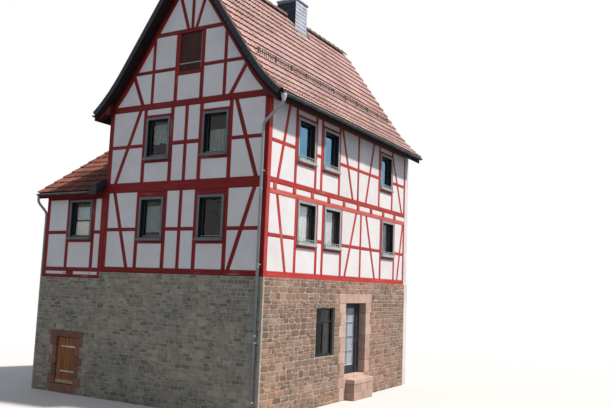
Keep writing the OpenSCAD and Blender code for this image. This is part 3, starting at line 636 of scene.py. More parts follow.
gable.brace((1.85, tie), (2.615, storey3))
gable.beam(-house_x, house_x, collar, 0.12)
for along in (loft_left - 0.065, loft_right + 0.065):
    gable.post(along, attic, collar)
for along in (-1.33, 1.385):
    gable.post(along, attic, collar + 0.06, 0.11)
gable.rail(loft_left, loft_right, loft_foot - 0.12, 0.12)
gable.rail(-house_x, loft_left, attic + 0.94)
gable.rail(loft_right, house_x, attic + 0.94)
gable.brace((-2.14, attic + 0.99), (-1.68, attic - 0.04))
gable.brace((2.23, attic + 0.99), (1.61, attic - 0.04))
gable.post(0.10, collar + 0.12, 13.2, 0.11)
gable.brace((-0.04, collar + 0.08), (-0.45, collar + 1.30), 0.11)
gable.brace((0.24, collar + 0.08), (0.63, collar + 1.30), 0.11)
for hand in (-1, 1):
    gable.member([(hand * across, under_roof(across, roof_depth + 0.075))
                  for across in (0.0, knee, 2.475, 2.65, 2.825, house_x)], 0.15, "beam",
                 [((0, 0, 0), (-hand, 0, 0))])
gable.finish("gable", "gable_frame")

joist_foot, joist_h, plate_h = 6.16, 0.16, 0.20
east_lower = [(y, 4.73, 1.09, 1.28) for y in (2.20, 3.81, 8.12)]
east_upper = [(y, 7.15, 1.04, 1.28) for y in (2.05, 3.59, 7.87)]


def side_beams(framing, faded=0.0):
    """Sill, plates and the joist ends between them, along one of the long walls."""
    framing.beam(0, 10, stone_top, sill_h)
    framing.beam(0, 10, joist_foot - 0.14, 0.14, faded)
    framing.beam(0, 10, joist_foot + joist_h, storey3 - joist_foot - joist_h)
    framing.beam(0, 10, plate_top - plate_h, plate_h)
    for i in range(9):
        along = 0.40 + 1.04 * i
        framing.member([(along, joist_foot - 0.004), (along, joist_foot + joist_h + 0.004)], 0.158, "joist",
                       faded=0.5 * faded)


past_corner = timber_depth + 0.002
entrance_side = Framing(east_wall, past_corner, house_end)
side_beams(entrance_side, 1.6)
for windows, foot, head, lintel, posts, rail_z, rails, braces in (
        (east_lower, stone_top + sill_h, joist_foot - 0.14, 0.01, (5.87, 9.64), 4.84,
         ((0, 1.6), (2.8, 3.2), (4.4, 7.55), (8.69, 9.7)),
         ((0.55, 1.09, 0.0), (5.495, 4.75, 0.0), (6.27, 7.05, 0.0), (9.54, 9.09, 0.0))),
        (east_upper, storey3, plate_top - plate_h, 0.08, (5.57, 9.64), 7.445,
         ((0, 1.5), (2.6, 3.05), (4.13, 7.3), (8.44, 9.7)),
         ((1.05, 0.54, 0.0), (4.35, 5.185, 0.0), (6.79, 6.21, 0.0), (8.52, 9.415, 0.25)))):
    for win in windows:
        entrance_side.round_window(win, foot, head, lintel)
    for along in posts:
        entrance_side.post(along, foot, head, 0.12)
    for start, end in rails:
        entrance_side.rail(start, end, rail_z)
    for top_y, foot_y, short in braces:
        entrance_side.brace((top_y, head - short), (foot_y, foot))
entrance_side.finish("entrance_side", "east_frame", painted_sunlit_oak)

west_windows = [(7.6, 4.73, 1.04, 1.28), (7.6, 7.15, 1.04, 1.28)]
rear_side = Framing(west_wall, past_corner, house_end)
side_beams(rear_side)
for win, foot, head, rail_z in ((west_windows[0], stone_top, joist_foot, 4.84),
                                (west_windows[1], storey3, plate_top, 7.445)):
    rear_side.round_window(win, foot, head, 0.08)
    for along in [6.56 / 6 * i for i in range(1, 6)] + [9.64]:
        rear_side.post(along, foot, head, 0.12)
    rear_side.rail(0, 7.08, rail_z)
    rear_side.rail(8.12, 9.7, rail_z)
    for top_y, foot_y in ((0.70, 1.06), (6.30, 5.72), (9.50, 8.90)):
        rear_side.brace((top_y, head), (foot_y, foot))
rear_side.finish("rear_side", "west_frame")

wing_window = (-4.015, 4.77, 1.0, 1.24)
wing_front = Framing(front_wall, -wing_x, -house_x)
for level, height in ((wing_stone_top, 0.10), (stone_top, 0.12), (wing_plate_top - plate_h, plate_h)):
    wing_front.beam(-wing_x, -house_x, level, height)
for along in (-5.53, -3.07):
    wing_front.corner_post(along, wing_stone_top, wing_plate_top, 0.14)
wing_front.round_window(wing_window, stone_top, wing_plate_top - plate_h, 0.06)
wing_front.rail(-wing_x, -4.515, 4.93)
wing_front.rail(-3.515, -house_x, 4.93)
wing_front.rail(-4.52, -4.20, wing_stone_top, 0.20)
wing_front.finish("wing_front", "wing_front_frame")

wing_side_window = (wing_mid, 4.73, 1.0, 1.28)
wing_tie_foot, wing_tie, wing_collar = 6.127, 6.242, 7.177
under_wing_roof = [((wing_mid, 0, wing_ridge - 0.17 * math.hypot(1, wing_pitch)), (hand * wing_pitch, 0, 1))
                   for hand in (-1, 1)]
wing_side = Framing(wing_west_wall, past_corner, wing_end - timber_depth)
wing_side.beam(0, wing_end, wing_stone_top, 0.10)
wing_side.beam(0, wing_end, stone_top, 0.12)
wing_side.member([(0, wing_tie), (wing_end, wing_tie)], 0.23, "beam", under_wing_roof)
wing_side.round_window(wing_side_window, stone_top, wing_tie_foot, 0.06)
for along, foot in ((0.21, wing_stone_top), (wing_end - 0.21, wing_stone_top), (1.15, stone_top),
                    (wing_end - 1.15, stone_top)):
    wing_side.post(along, foot, wing_tie_foot, 0.12)
wing_side.rail(0, 2.3, 4.93)
wing_side.rail(3.3, wing_end, 4.93)
wing_side.brace((0.35, wing_tie_foot), (0.95, stone_top))
wing_side.brace((wing_end - 0.35, wing_tie_foot), (wing_end - 0.95, stone_top))
for along, width in ((wing_mid, 0.13), (1.5, 0.12), (4.1, 0.12)):
    wing_side.member([(along, wing_tie_foot), (along, wing_ridge)], width, "post", under_wing_roof)
wing_side.member([(0, wing_collar), (wing_end, wing_collar)], 0.10, "rail", under_wing_roof)
wing_side.finish("wing_side", "wing_west_frame")

# PLASTER PANELS. Clay and brick fill between the timbers, floated with lime plaster and
# limewashed white. Every panel is dressed down to its timbers, which leaves a fine shadow
# along each member, and the dressed edge is painted darker as shade in that joint. The party
# wall and the wing's rear are rendered plain.


def limewash(name, clean, stained, foot=None):
    """Lime white with faint stains and painted shade in the joint round a panel; below foot a bed of mortar.
    """
    lime = Finish(name)
    lime.colour = lime.mix(lime.ramp("Stains", (0.40, 0.0), (0.66, 1.0)), clean, stained)
    lime.shade("Patches", (0.34, 0.95), (0.60, 1.0))
    lime.shade("tone", (0.0, 0.965), (1.0, 1.0))
    # Painted shade: the rim mark darkens a panel's dressed edge a little and its sides in the joint much
    # more.
    lime.shade("rim", (0.0, 1.0), (0.5, (0.70, 0.66, 0.62)), (1.0, (0.20, 0.17, 0.14)))
    lime.shade("Specks", (0.26, 0.80), (0.34, 1.0), share=0.8)
    if foot is not None:
        below = lime.reckon("LESS_THAN", lime.surface("Position", "Z"), foot)
        lime.cover(below, lime.ramp("Patches", (0.3, (0.300, 0.265, 0.225)), (0.7, (0.400, 0.360, 0.310))))
    return lime.done(0.88, lime.mix(0.25, "Patches", "Specks"), 0.35, 0.012, Specular_IOR_Level=0.2)


white_limewash = limewash("white_limewash", (0.82, 0.83, 0.85), (0.76, 0.765, 0.775))
plain_lime, stained_lime = (0.80, 0.80, 0.79), (0.70, 0.69, 0.67)
finish_nodes(limewash("plain_render", plain_lime, stained_lime), "party_wall")
finish_nodes(limewash("rear_render", plain_lime, stained_lime, wing_stone_top), "wing_north_wall")


def plaster_panels(name, solid, outward):
    """The solid's panels with their front edges dressed down, one tone for each panel."""
    shape = bmesh.new()
    shape.from_mesh(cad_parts[solid].data)
    bmesh.ops.remove_doubles(shape, verts=shape.verts, dist=0.0004)
    bmesh.ops.dissolve_limit(shape, angle_limit=0.03, verts=shape.verts, edges=shape.edges)
    outward = Vector(outward)
    front = {face for face in shape.faces if face.normal.dot(outward) > 0.9}
    edges = [edge for edge in shape.edges if sum(face in front for face in edge.link_faces) == 1]
    bmesh.ops.bevel(shape, geom=edges, offset=0.013, segments=2, profile=0.6, affect="EDGES",
                    clamp_overlap=True)
    tones = {}
    for start in shape.verts:
        if start in tones:
            continue
        tone, waiting = rng.random(), [start]
        while waiting:
            corner = waiting.pop()
            if corner not in tones:
                tones[corner] = tone
                waiting += [edge.other_vert(corner) for edge in corner.link_edges]
    shape.verts.index_update()
    outs = [corner.co.dot(outward) for corner in shape.verts]
    face_out = max(outs)
    # Painted shade marks: 0 on the face, 0.5 on the dressed edge, 1 on the sides within the joint.
    painted_shade_rims = [0.0 if out > face_out - 0.0008 else 0.5 if out > face_out - 0.03 else 1.0 for out in outs]
    piece = make_piece(name, [corner.co.copy() for corner in shape.verts],
                       [[corner.index for corner in face.verts] for face in shape.faces], white_limewash,
                       slot="plaster", tone=[tones[corner] for corner in shape.verts], rim=painted_shade_rims)
    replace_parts(piece, solid)
    shape.free()


for name, solid, outward in (("gable", "gable", (0, -1, 0)), ("entrance_side", "east", (1, 0, 0)),
                             ("rear_side", "west", (-1, 0, 0)), ("wing_front", "wing_front", (0, -1, 0)),
                             ("wing_side", "wing_west", (-1, 0, 0))):
    plaster_panels(f"{name}_panels", f"{solid}_infill", outward)

# WINDOWS. Each opening has a moulded architrave painted grey, a deep grey sill, a dark
# stained lining and one dark sash of clear glass set far back, with a pale drip bar on its
# foot. On the entrance side the upper panes carry a painted blue reflection of the sky.
sash_back, sash_front, sill_reach = -0.15, -0.105, 0.10
architrave_profile = [(0.0, -0.05), (0.0, 0.017), (0.005, 0.024), (0.016, 0.027), (0.026, 0.021),
                      (0.058, 0.019), (0.064, 0.023), (0.071, 0.022), (0.075, 0.014), (0.075, -0.05)]
lining_profile = [(0.055, -0.16), (0.055, 0.010), (0.077, 0.010), (0.080, 0.006), (0.080, -0.104),
                  (0.078, -0.16)]
sash_profile = [(0.079, sash_back), (0.079, sash_front - 0.004), (0.083, sash_front), (0.118, sash_front),
                (0.131, -0.120), (0.131, -0.134), (0.120, sash_back)]


def mitred_ring(heap, wall, box, profile, tone):
    """A moulding of one (inset, out) profile carried round an opening and mitred at its corners."""
    left, right, foot, head = box
    points = [wall(u, out, z) for inset, out in profile
              for u, z in ((left + inset, foot + inset), (right - inset, foot + inset),
                           (right - inset, head - inset), (left + inset, head - inset))]
    faces = [tuple(corner % len(points) for corner in face) for face in skin(len(profile) + 1, 4)]
    heap.add(points, faces, tone)


def painted_wood(name, main, worn, roughness=0.5):
    paint = Finish(name)
    paint.blotched(main, [0.82 * part for part in main], 0.35, 0.70)
    paint.shade("tone", (0.0, 0.90), (1.0, 1.10))
    paint.cover(paint.ramp("Specks", (0.63, 0.0), (0.72, 1.0)), worn)
    rough = paint.spread("Specks", roughness - 0.1, roughness + 0.15)
    return paint.done(rough, "Specks", 0.18, 0.003, Specular_IOR_Level=0.3)


grey_paint = painted_wood("grey_paint", (0.162, 0.184, 0.204), (0.25, 0.28, 0.29))
sill_paint = painted_wood("sill_paint", (0.176, 0.186, 0.190), (0.32, 0.35, 0.35))
chalked_paint = painted_wood("chalked_paint", (0.400, 0.450, 0.465), (0.52, 0.55, 0.54))
chalked_sill = painted_wood("chalked_sill", (0.430, 0.490, 0.480), (0.55, 0.58, 0.56))
dark_stain = painted_wood("dark_stain", (0.013, 0.015, 0.018), (0.045, 0.045, 0.045), 0.45)
pale_bar = painted_wood("pale_bar", (0.62, 0.65, 0.66), (0.42, 0.42, 0.42), 0.4)


def glass_material(name, tint, clear=1.0):
    """Old glass, slightly wavy, with a thin film of dust."""
    glass = Finish(name, 0.5)
    glass.colour = tint
    return glass.done(glass.spread("Patches", 0.0, 0.06, 0.35, 0.7), "Stains", 0.12, 0.01,
                      Transmission_Weight=clear, IOR=1.25)


def painted_sky_glass_material():
    """The upper panes carry a painted blue reflection of the sky, from a blue specular tint and a raised IOR,
    and the lower ones let the sun in on the curtains.
    """
    glass = Finish("painted_sky_glass", 0.5)
    glass.colour = (0.93, 0.96, 0.98)
    upper = glass.reckon("GREATER_THAN", glass.surface("Position", "Z"), storey3)
    # Painted reflection: the blue Specular Tint and the IOR of 3.1 stand in for the sky mirrored in the upper
    # panes.
    return glass.done(glass.spread("Patches", 0.0, 0.05), "Stains", 0.12, 0.01, Transmission_Weight=1.0,
                      IOR=3.1, Alpha=glass.spread(upper, 0.20, 1.0), Specular_Tint=(0.20, 0.55, 1.0))


finish_nodes(glass_material("window_glass", (0.93, 0.96, 0.96)), "front_window_glass", "west_window_glass",
             "shop_window_glass")
finish_nodes(painted_sky_glass_material(), "east_window_glass")

for side_name, solid, units, paint, sill_finish in (
        ("front", "front_window_frames", [(front_wall, *win) for win in gable_windows + [wing_window]],
         grey_paint, sill_paint),
        ("entrance_side", "east_window_frames", [(east_wall, *win) for win in east_lower + east_upper],
         chalked_paint, chalked_sill),
        ("rear_side", "west_window_frames", [(west_wall, *win) for win in west_windows]
         + [(wing_west_wall, *wing_side_window)], grey_paint, sill_paint)):
    trims, sills, linings, sashes, bars = (Heap() for part in range(5))
    for wall, middle, foot, width, height in units:
        left, right = middle - width / 2, middle + width / 2
        tone = rng.random()
        for heap, profile in ((trims, architrave_profile), (linings, lining_profile), (sashes, sash_profile)):
            mitred_ring(heap, wall, (left, right, foot, foot + height), profile, tone)
        sills.block(wall, left - 0.02, right + 0.02, -0.02, sill_reach - 0.004, foot - 0.022, foot + 0.020,
                    tone, 0.008, 0.0008)
        sills.block(wall, left + 0.004, right - 0.004, -0.02, sill_reach - 0.022, foot + 0.018, foot + 0.058,
                    tone, 0.007, 0.0008)
        bars.block(wall, left + 0.10, right - 0.10, -0.112, -0.078, foot + 0.112, foot + 0.128, tone, 0.005)
    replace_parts(trims.piece(f"{side_name}_architraves", paint, "window_grey"), solid)
    sills.piece(f"{side_name}_sills", sill_finish, "window_grey")
    linings.piece(f"{side_name}_linings", dark_stain, "joinery_dark")
    sashes.piece(f"{side_name}_sashes", dark_stain, "joinery_dark")
    bars.piece(f"{side_name}_drip_bars", pale_bar, "window_grey")

# SILL RAILS. On the entrance side each sill carries a low painted wooden rail, with thin
# uprights tenoned between two bars.
sill_rails = Heap()
for middle, foot, width, height in east_lower + east_upper:
    left, right, top = middle - width / 2 + 0.012, middle + width / 2 - 0.012, foot + 0.165
    for level in (foot + 0.095, top):
        sill_rails.block(east_wall, left, right, sill_reach - 0.042, sill_reach - 0.028, level - 0.016, level,
                         0.5, 0.003)
    for i in range(9):
        along = left + 0.010 + i * (right - left - 0.020) / 8
        sill_rails.block(east_wall, along - 0.008, along + 0.008, sill_reach - 0.039, sill_reach - 0.031,
                         foot + 0.056, top - 0.008, 0.7, 0.002)
sill_rails.piece("entrance_side_sill_rails", chalked_sill, "window_grey")

# SHOP WINDOW. A dark stained fixed frame in the stone wall, with a cross bar and one
# upright below it.
shop = Heap()
mitred_ring(shop, east_stone_face, shop_opening, [(0.0, -0.16), (0.0, -0.086), (0.006, -0.08), (0.050, -0.08),
                                                  (0.058, -0.088), (0.066, -0.088), (0.072, -0.10),
                                                  (0.072, -0.13), (0.066, -0.16)], 0.4)
shop_low, shop_high, shop_foot, _ = shop_opening
shop_mid, rebate, cross_bar = (shop_low + shop_high) / 2, 0.065, 2.46
shop.block(east_stone_face, shop_low + rebate, shop_high - rebate, -0.145, -0.085, cross_bar,
           cross_bar + 0.05, 0.5)
shop.block(east_stone_face, shop_mid - 0.025, shop_mid + 0.025, -0.140, -0.090, shop_foot + rebate,
           cross_bar + 0.005, 0.6)
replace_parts(shop.piece("shop_window_joinery", dark_stain, "joinery_dark"), "shop_window_frame")

# CURTAINS. Patterned net in white, pale grey or cream, gathered on thin brass rods a hand's
# breadth behind the glass. The gable's white net is painted dark grey-green as the shade it
# hangs in, and the wing's pale grey net is painted bluer and brighter as the sky's reflection
# in its panes.


def curtain_cloth(name, main, shade):
    """Threads both ways, and a small woven figure."""
    cloth = Finish(name)
    lie = cloth.grain()
    threads = []
    for measure in ((900, 40, 1), (40, 900, 1)):
        drawn = cloth.add("ShaderNodeVectorMath", {0: lie, 1: measure}, operation="MULTIPLY").outputs[0]
        threads.append(cloth.add("ShaderNodeTexNoise", {"Vector": drawn, "Scale": 1.0,
                                                        "Detail": 1.0}).outputs["Fac"])
    weave = cloth.mix(0.5, *threads)
    cells = cloth.add("ShaderNodeTexVoronoi", {"Vector": lie, "Scale": 22.0})
    figure = cloth.ramp(cells.outputs["Distance"], (0.25, 0.0), (0.40, 1.0))
    cloth.colour = cloth.mix(figure, main, shade)
    cloth.shade(weave, (0.3, 0.8), (0.7, 1.1), share=0.5)
    return cloth.done(0.9, weave, 0.2, 0.001, Sheen_Weight=0.2)


# White net painted dark grey-green: painted shade for the gable side and the dark rooms behind it.
white_net_painted_shade = curtain_cloth("white_net_painted_shade", (0.270, 0.325, 0.320), (0.17, 0.21, 0.21))
# Pale grey net painted bluer and brighter: a painted reflection of the sky in the wing's upper panes.
pale_net_sky_reflection = curtain_cloth("pale_net_sky_reflection", (0.52, 0.60, 0.66), (0.40, 0.47, 0.52))
bright_net = curtain_cloth("bright_net", (0.84, 0.86, 0.87), (0.70, 0.73, 0.75))
cream_net = curtain_cloth("cream_net", (0.88, 0.86, 0.80), (0.74, 0.71, 0.64))
rods, hung = Heap(), []


def curtain(name, wall, win, from_share, to_share, low_share, high_share, folds, cloth, deep=0.016,
            scallop=0.0):
    """A gathered sheet over shares of the pane's width and height, in folds that deepen downwards."""
    middle, foot, width, height = win
    inset, back, radius = 0.09, -0.20, 0.006
    pane_left, pane_w = middle - width / 2 + inset, width - 2 * inset
    pane_foot, pane_h = foot + inset, height - 2 * inset
    start, end = pane_left + from_share * pane_w, pane_left + to_share * pane_w
    low, high = pane_foot + low_share * pane_h, pane_foot + high_share * pane_h
    around = [(radius * math.cos(math.tau * i / 8), radius * math.sin(math.tau * i / 8)) for i in range(8)]
    rods.loft([[wall(along, back + a, high - 0.012 + b) for a, b in around]
               for along in (pane_left - 0.03, pane_left + pane_w + 0.03)], 0.5)
    across, down = folds * 10, 9
    seed = rng.uniform(0, 50)
    rows = []
    for drop in (j / down for j in range(down + 1)):
        row = []
        for share in (i / across for i in range(across + 1)):
            wander = 0.35 * noise.noise(Vector((seed, share * folds * 0.7, drop * 1.5)))
            swell = deep * (0.55 + 0.45 * drop) * math.sin(math.tau * (share * folds + wander))
            hem = low + scallop * abs(math.cos(math.pi * share * 2)) * drop
            row.append((start + (end - start) * share, back - radius - deep + swell,
                        high - (high - hem) * drop))
        rows.append(row)
    flat_w = sum(math.dist(a, b) for row in rows for a, b in zip(row, row[1:])) / len(rows)
    piece = make_piece(name, [wall(*spot) for row in rows for spot in row], skin(down + 1, across + 1, False),
                       cloth, slot="plaster", smooth=True,
                       grain=[Vector((flat_w * i / across, (high - low) * j / down, 0))
                              for j in range(down + 1) for i in range(across + 1)])
    hung.append((piece, (flat_w, high - low)))


curtain("curtain_gable_upper_right", front_wall, gable_windows[3], 0.06, 1.0, 0.02, 0.62, 9, white_net_painted_shade)
curtain("curtain_gable_upper_left", front_wall, gable_windows[2], 0.0, 1.0, 0.34, 0.92, 5, white_net_painted_shade, 0.024,
        0.06)
curtain("curtain_gable_lower_left", front_wall, gable_windows[0], 0.02, 1.0, 0.14, 0.86, 7, white_net_painted_shade)
curtain("curtain_wing_low", front_wall, wing_window, 0.0, 1.0, 0.04, 0.46, 4, cream_net, 0.010)
curtain("curtain_wing_high", front_wall, wing_window, 0.0, 1.0, 0.50, 0.90, 6, pale_net_sky_reflection, 0.018)
for order in range(2):
    curtain(f"curtain_entrance_side_{order}", east_wall, east_lower[order], 0.0, 0.90, 0.02, 0.99, 9,
            bright_net, 0.020)


def metal(name, main, dull, roughness, shine=1.0):
    ware = Finish(name)
    ware.blotched(main, dull, 0.34, 0.68)
    ware.shade("Specks", (0.3, 0.82), (0.6, 1.05), share=0.6)
    rough = ware.spread("Patches", roughness - 0.12, roughness + 0.15)
    return ware.done(rough, "Specks", 0.12, 0.002, Metallic=shine)


brass = metal("brass", (0.70, 0.52, 0.24), (0.45, 0.33, 0.16), 0.35)
rods.piece("curtain_rods", brass, "iron")
for piece, cut in hung:
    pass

# LOFT DOOR. Upright oiled boards over a ledged foot panel, with a pale closing strip on the
# hanging side.
loft, board_back = Heap(), -0.108
board_w = (loft_right - loft_left) / 5
for i in range(5):
    loft.block(front_wall, loft_left + i * board_w + 0.002, loft_left + (i + 1) * board_w - 0.002, board_back,
               -0.052 + rng.uniform(-0.004, 0.003), loft_foot + 0.235, collar, trim=0.005)
for i in range(3):
    loft.block(front_wall, loft_left, loft_right, board_back, -0.055 + rng.uniform(-0.003, 0.004),
               loft_foot + 0.077 * i, loft_foot + 0.077 * (i + 1) - 0.004, trim=0.005)
loft.grain = [(point[2], point[0], point[1]) for point in loft.points]
dark_boards = wood_material("dark_boards", (0.026, 0.010, 0.008), (0.048, 0.018, 0.014),
                            (0.085, 0.032, 0.024), 0.6)
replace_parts(loft.piece("loft_door_boards", dark_boards, "planks_brown"), "loft_door")
strips = Heap()
strips.block(front_wall, loft_left + 0.02, loft_right - 0.02, -0.055, -0.030, loft_foot + 0.218,
             loft_foot + 0.246, 0.5, 0.004)
strips.block(front_wall, loft_right - 0.030, loft_right - 0.012, -0.055, -0.034, loft_foot + 0.05,
             collar - 0.03, 0.5, 0.004)
strips.piece("loft_door_strips", chalked_paint, "window_grey")

# MAIN ROOF. Fired clay tiles with two troughs each, hung in courses on both slopes, with a
# bell-cast at the eaves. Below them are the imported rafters, closed on their underside with
# sawn boards that are stained nearly black.
tile_gauge, tile_w, first_course, verge_y, roof_end = 0.333, 0.277, 0.26, -0.25, 10.0
tile_section = [(0.00, 0.016), (0.05, 0.035), (0.10, 0.020), (0.18, 0.004), (0.30, 0.0), (0.42, 0.012),
                (0.50, 0.023), (0.58, 0.012), (0.70, 0.0), (0.84, 0.003), (0.93, 0.012), (1.00, 0.014)]


def measured_line(line):
    """For a line of (distance, height): the point at a run, the run to a distance, and its length."""
    runs = [0.0]
    for a, b in zip(line, line[1:]):
        runs.append(runs[-1] + math.dist(a, b))

    def at(run):
        index = 0
        while index < len(line) - 2 and runs[index + 1] < run:
            index += 1
        (d0, z0), (d1, z1) = line[index], line[index + 1]
        share = (run - runs[index]) / (runs[index + 1] - runs[index])
        return d0 + (d1 - d0) * share, z0 + (z1 - z0) * share

    def run_to(distance):
        index = 0
        while index < len(line) - 2 and line[index + 1][0] > distance:
            index += 1
        share = (line[index][0] - distance) / (line[index][0] - line[index + 1][0])
        return runs[index] + (runs[index + 1] - runs[index]) * share
    return at, run_to, runs[-1]


def lay_tile(heap, at, lay, side, width, foot, head, tone, thick=1.0):
    """One tile from foot to head up the slope, its lower edge resting on the course below."""
    (d0, z0), (d1, z1) = at(foot), at(head)
    run = math.dist((d0, z0), (d1, z1))
    up = ((d1 - d0) / run, (z1 - z0) / run)
    out = (abs(up[1]), abs(up[0]))
    tip = rng.uniform(-0.003, 0.003)
    stations = [(0.006, 0.016), (0.0, 0.064 * thick), (0.010, 0.072 * thick), (0.5 * run, 0.042 * thick),
                (run, 0.014)]
    points, grain = [], []
    # The third part of grain runs up the tile from 0 to 1 and is below zero on the lip, which the clay finish
    # darkens as painted shade.
    for row, (along, lift) in enumerate(stations):
        for share, rise in tile_section:
            height = lift + rise + tip * (share - 0.5)
            points.append(lay(d0 + up[0] * along + out[0] * height, side + width * share,
                              z0 + up[1] * along + out[1] * height))
            grain.append((foot + along, side + share * width, along / run if row else -0.1))
    heap.add(points, skin(len(stations), len(tile_section), around=False), tone, grain)


def clay_material(name, deep, main, light, orange):
    """Fired clay and lichen, with painted shade on each tile's lip and where the next course overlaps its
    head.
    """
    fired = Finish(name)
    fired.colour = fired.ramp("tone", (0.0, deep), (0.25, main), (0.60, light), (0.85, orange), (1.0, main))
    fired.shade("Stains", (0.36, 0.84), (0.60, 1.06))
    fired.shade("Patches", (0.30, (0.86, 0.84, 0.83)), (0.62, (1.04, 1.03, 1.03)))
    fired.cover(fired.ramp("Specks", (0.62, 0.0), (0.72, 1.0)), (0.30, 0.27, 0.22))
    # Painted shade: each tile's lip, marked below zero, is darkened, and so is its head where the next course
    # overlaps it.
    along = fired.add("ShaderNodeSeparateXYZ", {0: fired.grain()}).outputs["Z"]
    fired.shade(along, (0.0, 0.20), (0.02, 1.0), (0.73, 1.0), (0.87, 0.40))
    return fired.done(0.78, fired.mix(0.6, "Specks", "Grit"), 0.35, 0.004, Specular_IOR_Level=0.3)


clay = clay_material("clay", (0.515, 0.335, 0.318), (0.622, 0.425, 0.410), (0.650, 0.470, 0.456),
                     (0.630, 0.393, 0.334))
# A clay painted much darker than the main roof's, as the shade on the wing's slopes.
painted_shade_clay = clay_material("painted_shade_clay", (0.080, 0.024, 0.018), (0.205, 0.070, 0.052), (0.270, 0.096, 0.070),
                         (0.300, 0.098, 0.062))


def roof_boards(name, boards, overhang):
    """Boards in one colour under the roof and another before the gable, clay dust on their top."""
    deck = Finish(name)
    before = deck.reckon("LESS_THAN", deck.surface("Position", "Y"), -0.002)
    deck.colour = deck.mix(before, boards, overhang)
    deck.shade("Patches", (0.3, 0.8), (0.7, 1.1))
    deck.cover(deck.reckon("GREATER_THAN", deck.surface("Normal", "Z"), 0.05), (0.36, 0.19, 0.14))
    return deck.done(0.8, "Specks", 0.25, 0.004, Specular_IOR_Level=0.1)


soffit = roof_boards("soffit", (0.020, 0.014, 0.013), (0.021, 0.012, 0.012))
marks, sawn_w = [eaves * i / 40 for i in range(41)], 0.16
slab = [(d, roof_height(d) - 0.002) for d in marks]
slab += [(d, under_roof(d, roof_depth - 0.016)) for d in marks[::-1]]
for hand, name, solid in ((1, "roof_boards_entrance_side", "roof_east"),
                          (-1, "roof_boards_rear_side", "roof_west")):
    boards = Heap()
    boards.loft([[Vector((hand * d, y, z)) for d, z in slab] for y in (verge_y + 0.002, roof_end)], 0.5)
    reach = eaves
    while reach > 0.12:
        inner = reach - sawn_w / math.hypot(1, roof_steepness(reach))
        board = [(reach - 0.002, 0.017), (reach - 0.002, 0.003), (reach - 0.006, 0.0), (inner + 0.006, 0.0),
                 (inner + 0.002, 0.003), (inner + 0.002, 0.017)]
        boards.loft([[Vector((hand * d, y, under_roof(d, roof_depth - up))) for d, up in board]
                     for y in (verge_y, roof_end)])
        reach = inner
    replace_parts(boards.piece(name, soffit, "timber_red"), solid)
finish_nodes(roof_boards("wing_soffit", (0.10, 0.016, 0.015), (0.135, 0.018, 0.017)), "wing_roof")

slope_at, slope_run, slope_long = measured_line([(eaves * (1 - i / 60), roof_height(eaves * (1 - i / 60)))
                                                 for i in range(61)])
courses, mark, gauge = [0.0], eaves, first_course
while mark > 0.25:
    mark -= gauge / math.hypot(1, roof_steepness(mark - 0.3 * gauge))
    courses.append(slope_run(max(mark, 0.15)))
    gauge = tile_gauge
chimney_half, chimney_front, chimney_rear = 0.385, 5.30, 6.10
for hand, name in ((1, "tiles_entrance_side"), (-1, "tiles_rear_side")):
    tiles = Heap()
    for foot, head in zip(courses, courses[1:]):
        foot, head = foot - (0.055 if foot < 0.01 else 0.012), head + 0.045
        by_chimney = slope_at((foot + head) / 2)[0] < chimney_half + 0.02
        for i in range(37):
            side_y = verge_y - 0.006 + tile_w * i
            if not (by_chimney and chimney_front < side_y + tile_w / 2 < chimney_rear):
                lay_tile(tiles, slope_at, lambda d, y, z: Vector((hand * d, y, z)), side_y, tile_w,
                         foot + rng.uniform(-0.003, 0.003), head, rng.random())
    tiles.piece(name, clay, "clay_tile")

# WING ROOF. Nine courses of tiles on each side, laid thin and nearly flat, in a clay painted
# dark as the shade on these slopes, darkest towards the main wall, where the main roof's shadow
# falls, and lightest at the verge that the sun reaches.
wing_eaves, wing_gauge = wing_mid + 0.25, 0.42
wing_at, _, wing_long = measured_line([(wing_eaves, wing_ridge - wing_pitch * wing_eaves), (0.0, wing_ridge)])
wing_tiles = Heap()
for hand in (-1, 1):
    for row in range(9):
        foot = -0.045 if row == 0 else 0.30 + wing_gauge * (row - 1)
        head = min(0.345 if row == 0 else foot + wing_gauge + 0.045, wing_long - 0.01)
        # Columns further from the verge take lower tones, painted darker as the main roof's shadow.
        for i in range(10):
            lay_tile(wing_tiles, wing_at, lambda d, x, z: Vector((x, wing_mid + hand * d, z)),
                     -5.77 + tile_w * i, tile_w if i < 9 else 0.24, foot + rng.uniform(-0.003, 0.003),
                     head, rng.random() * (1.0 if i < 3 else 0.6 if i < 6 else 0.2), 0.62)
wing_tiles.piece("tiles_wing", painted_shade_clay, "clay_tile")

# RIDGE TILES. Half-round clay caps, bedded on the top course, each with a collar that covers
# the next.
caps, cap_radius = Heap(), 0.125


def ridge_run(place, start, end, spread):
    count = max(1, round((end - start) / 0.40))
    long = (end - start) / count
    angles = [math.radians(90 + spread * (step / 5 - 1)) for step in range(11)]
    for i in range(count):
        a, b = start + i * long, start + (i + 1) * long + 0.03
        stations = [(a, cap_radius - 0.016), (a, cap_radius + 0.012), (a + 0.055, cap_radius + 0.010),
                    (a + 0.065, cap_radius), (min(b, end), cap_radius - 0.006)]
        caps.add([place(size * math.cos(angle), along, size * math.sin(angle)) for along, size in stations
                  for angle in angles], skin(len(stations), len(angles), around=False))


def main_ridge(across, along, up):
    return Vector((across, along, ridge - 0.028 + up))


def wing_ridge_line(across, along, up):
    return Vector((along, wing_mid + across, wing_ridge - 0.028 + up))


ridge_run(main_ridge, verge_y - 0.005, chimney_front - 0.03, 100)
ridge_run(main_ridge, chimney_rear + 0.03, roof_end, 100)
ridge_run(wing_ridge_line, -5.755, -house_x - 0.01, 95)
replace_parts(caps.piece("ridge_caps", clay, "clay_tile"), "ridge_tiles")

# SLATE. Small blue-black slates are nailed in courses on the verges and the chimney, and
# close the corner where the wing's eaves meet the gable. On the chimney's east face they are
# laid in light blue-grey, a painted sheen for the sun's glare on that face.


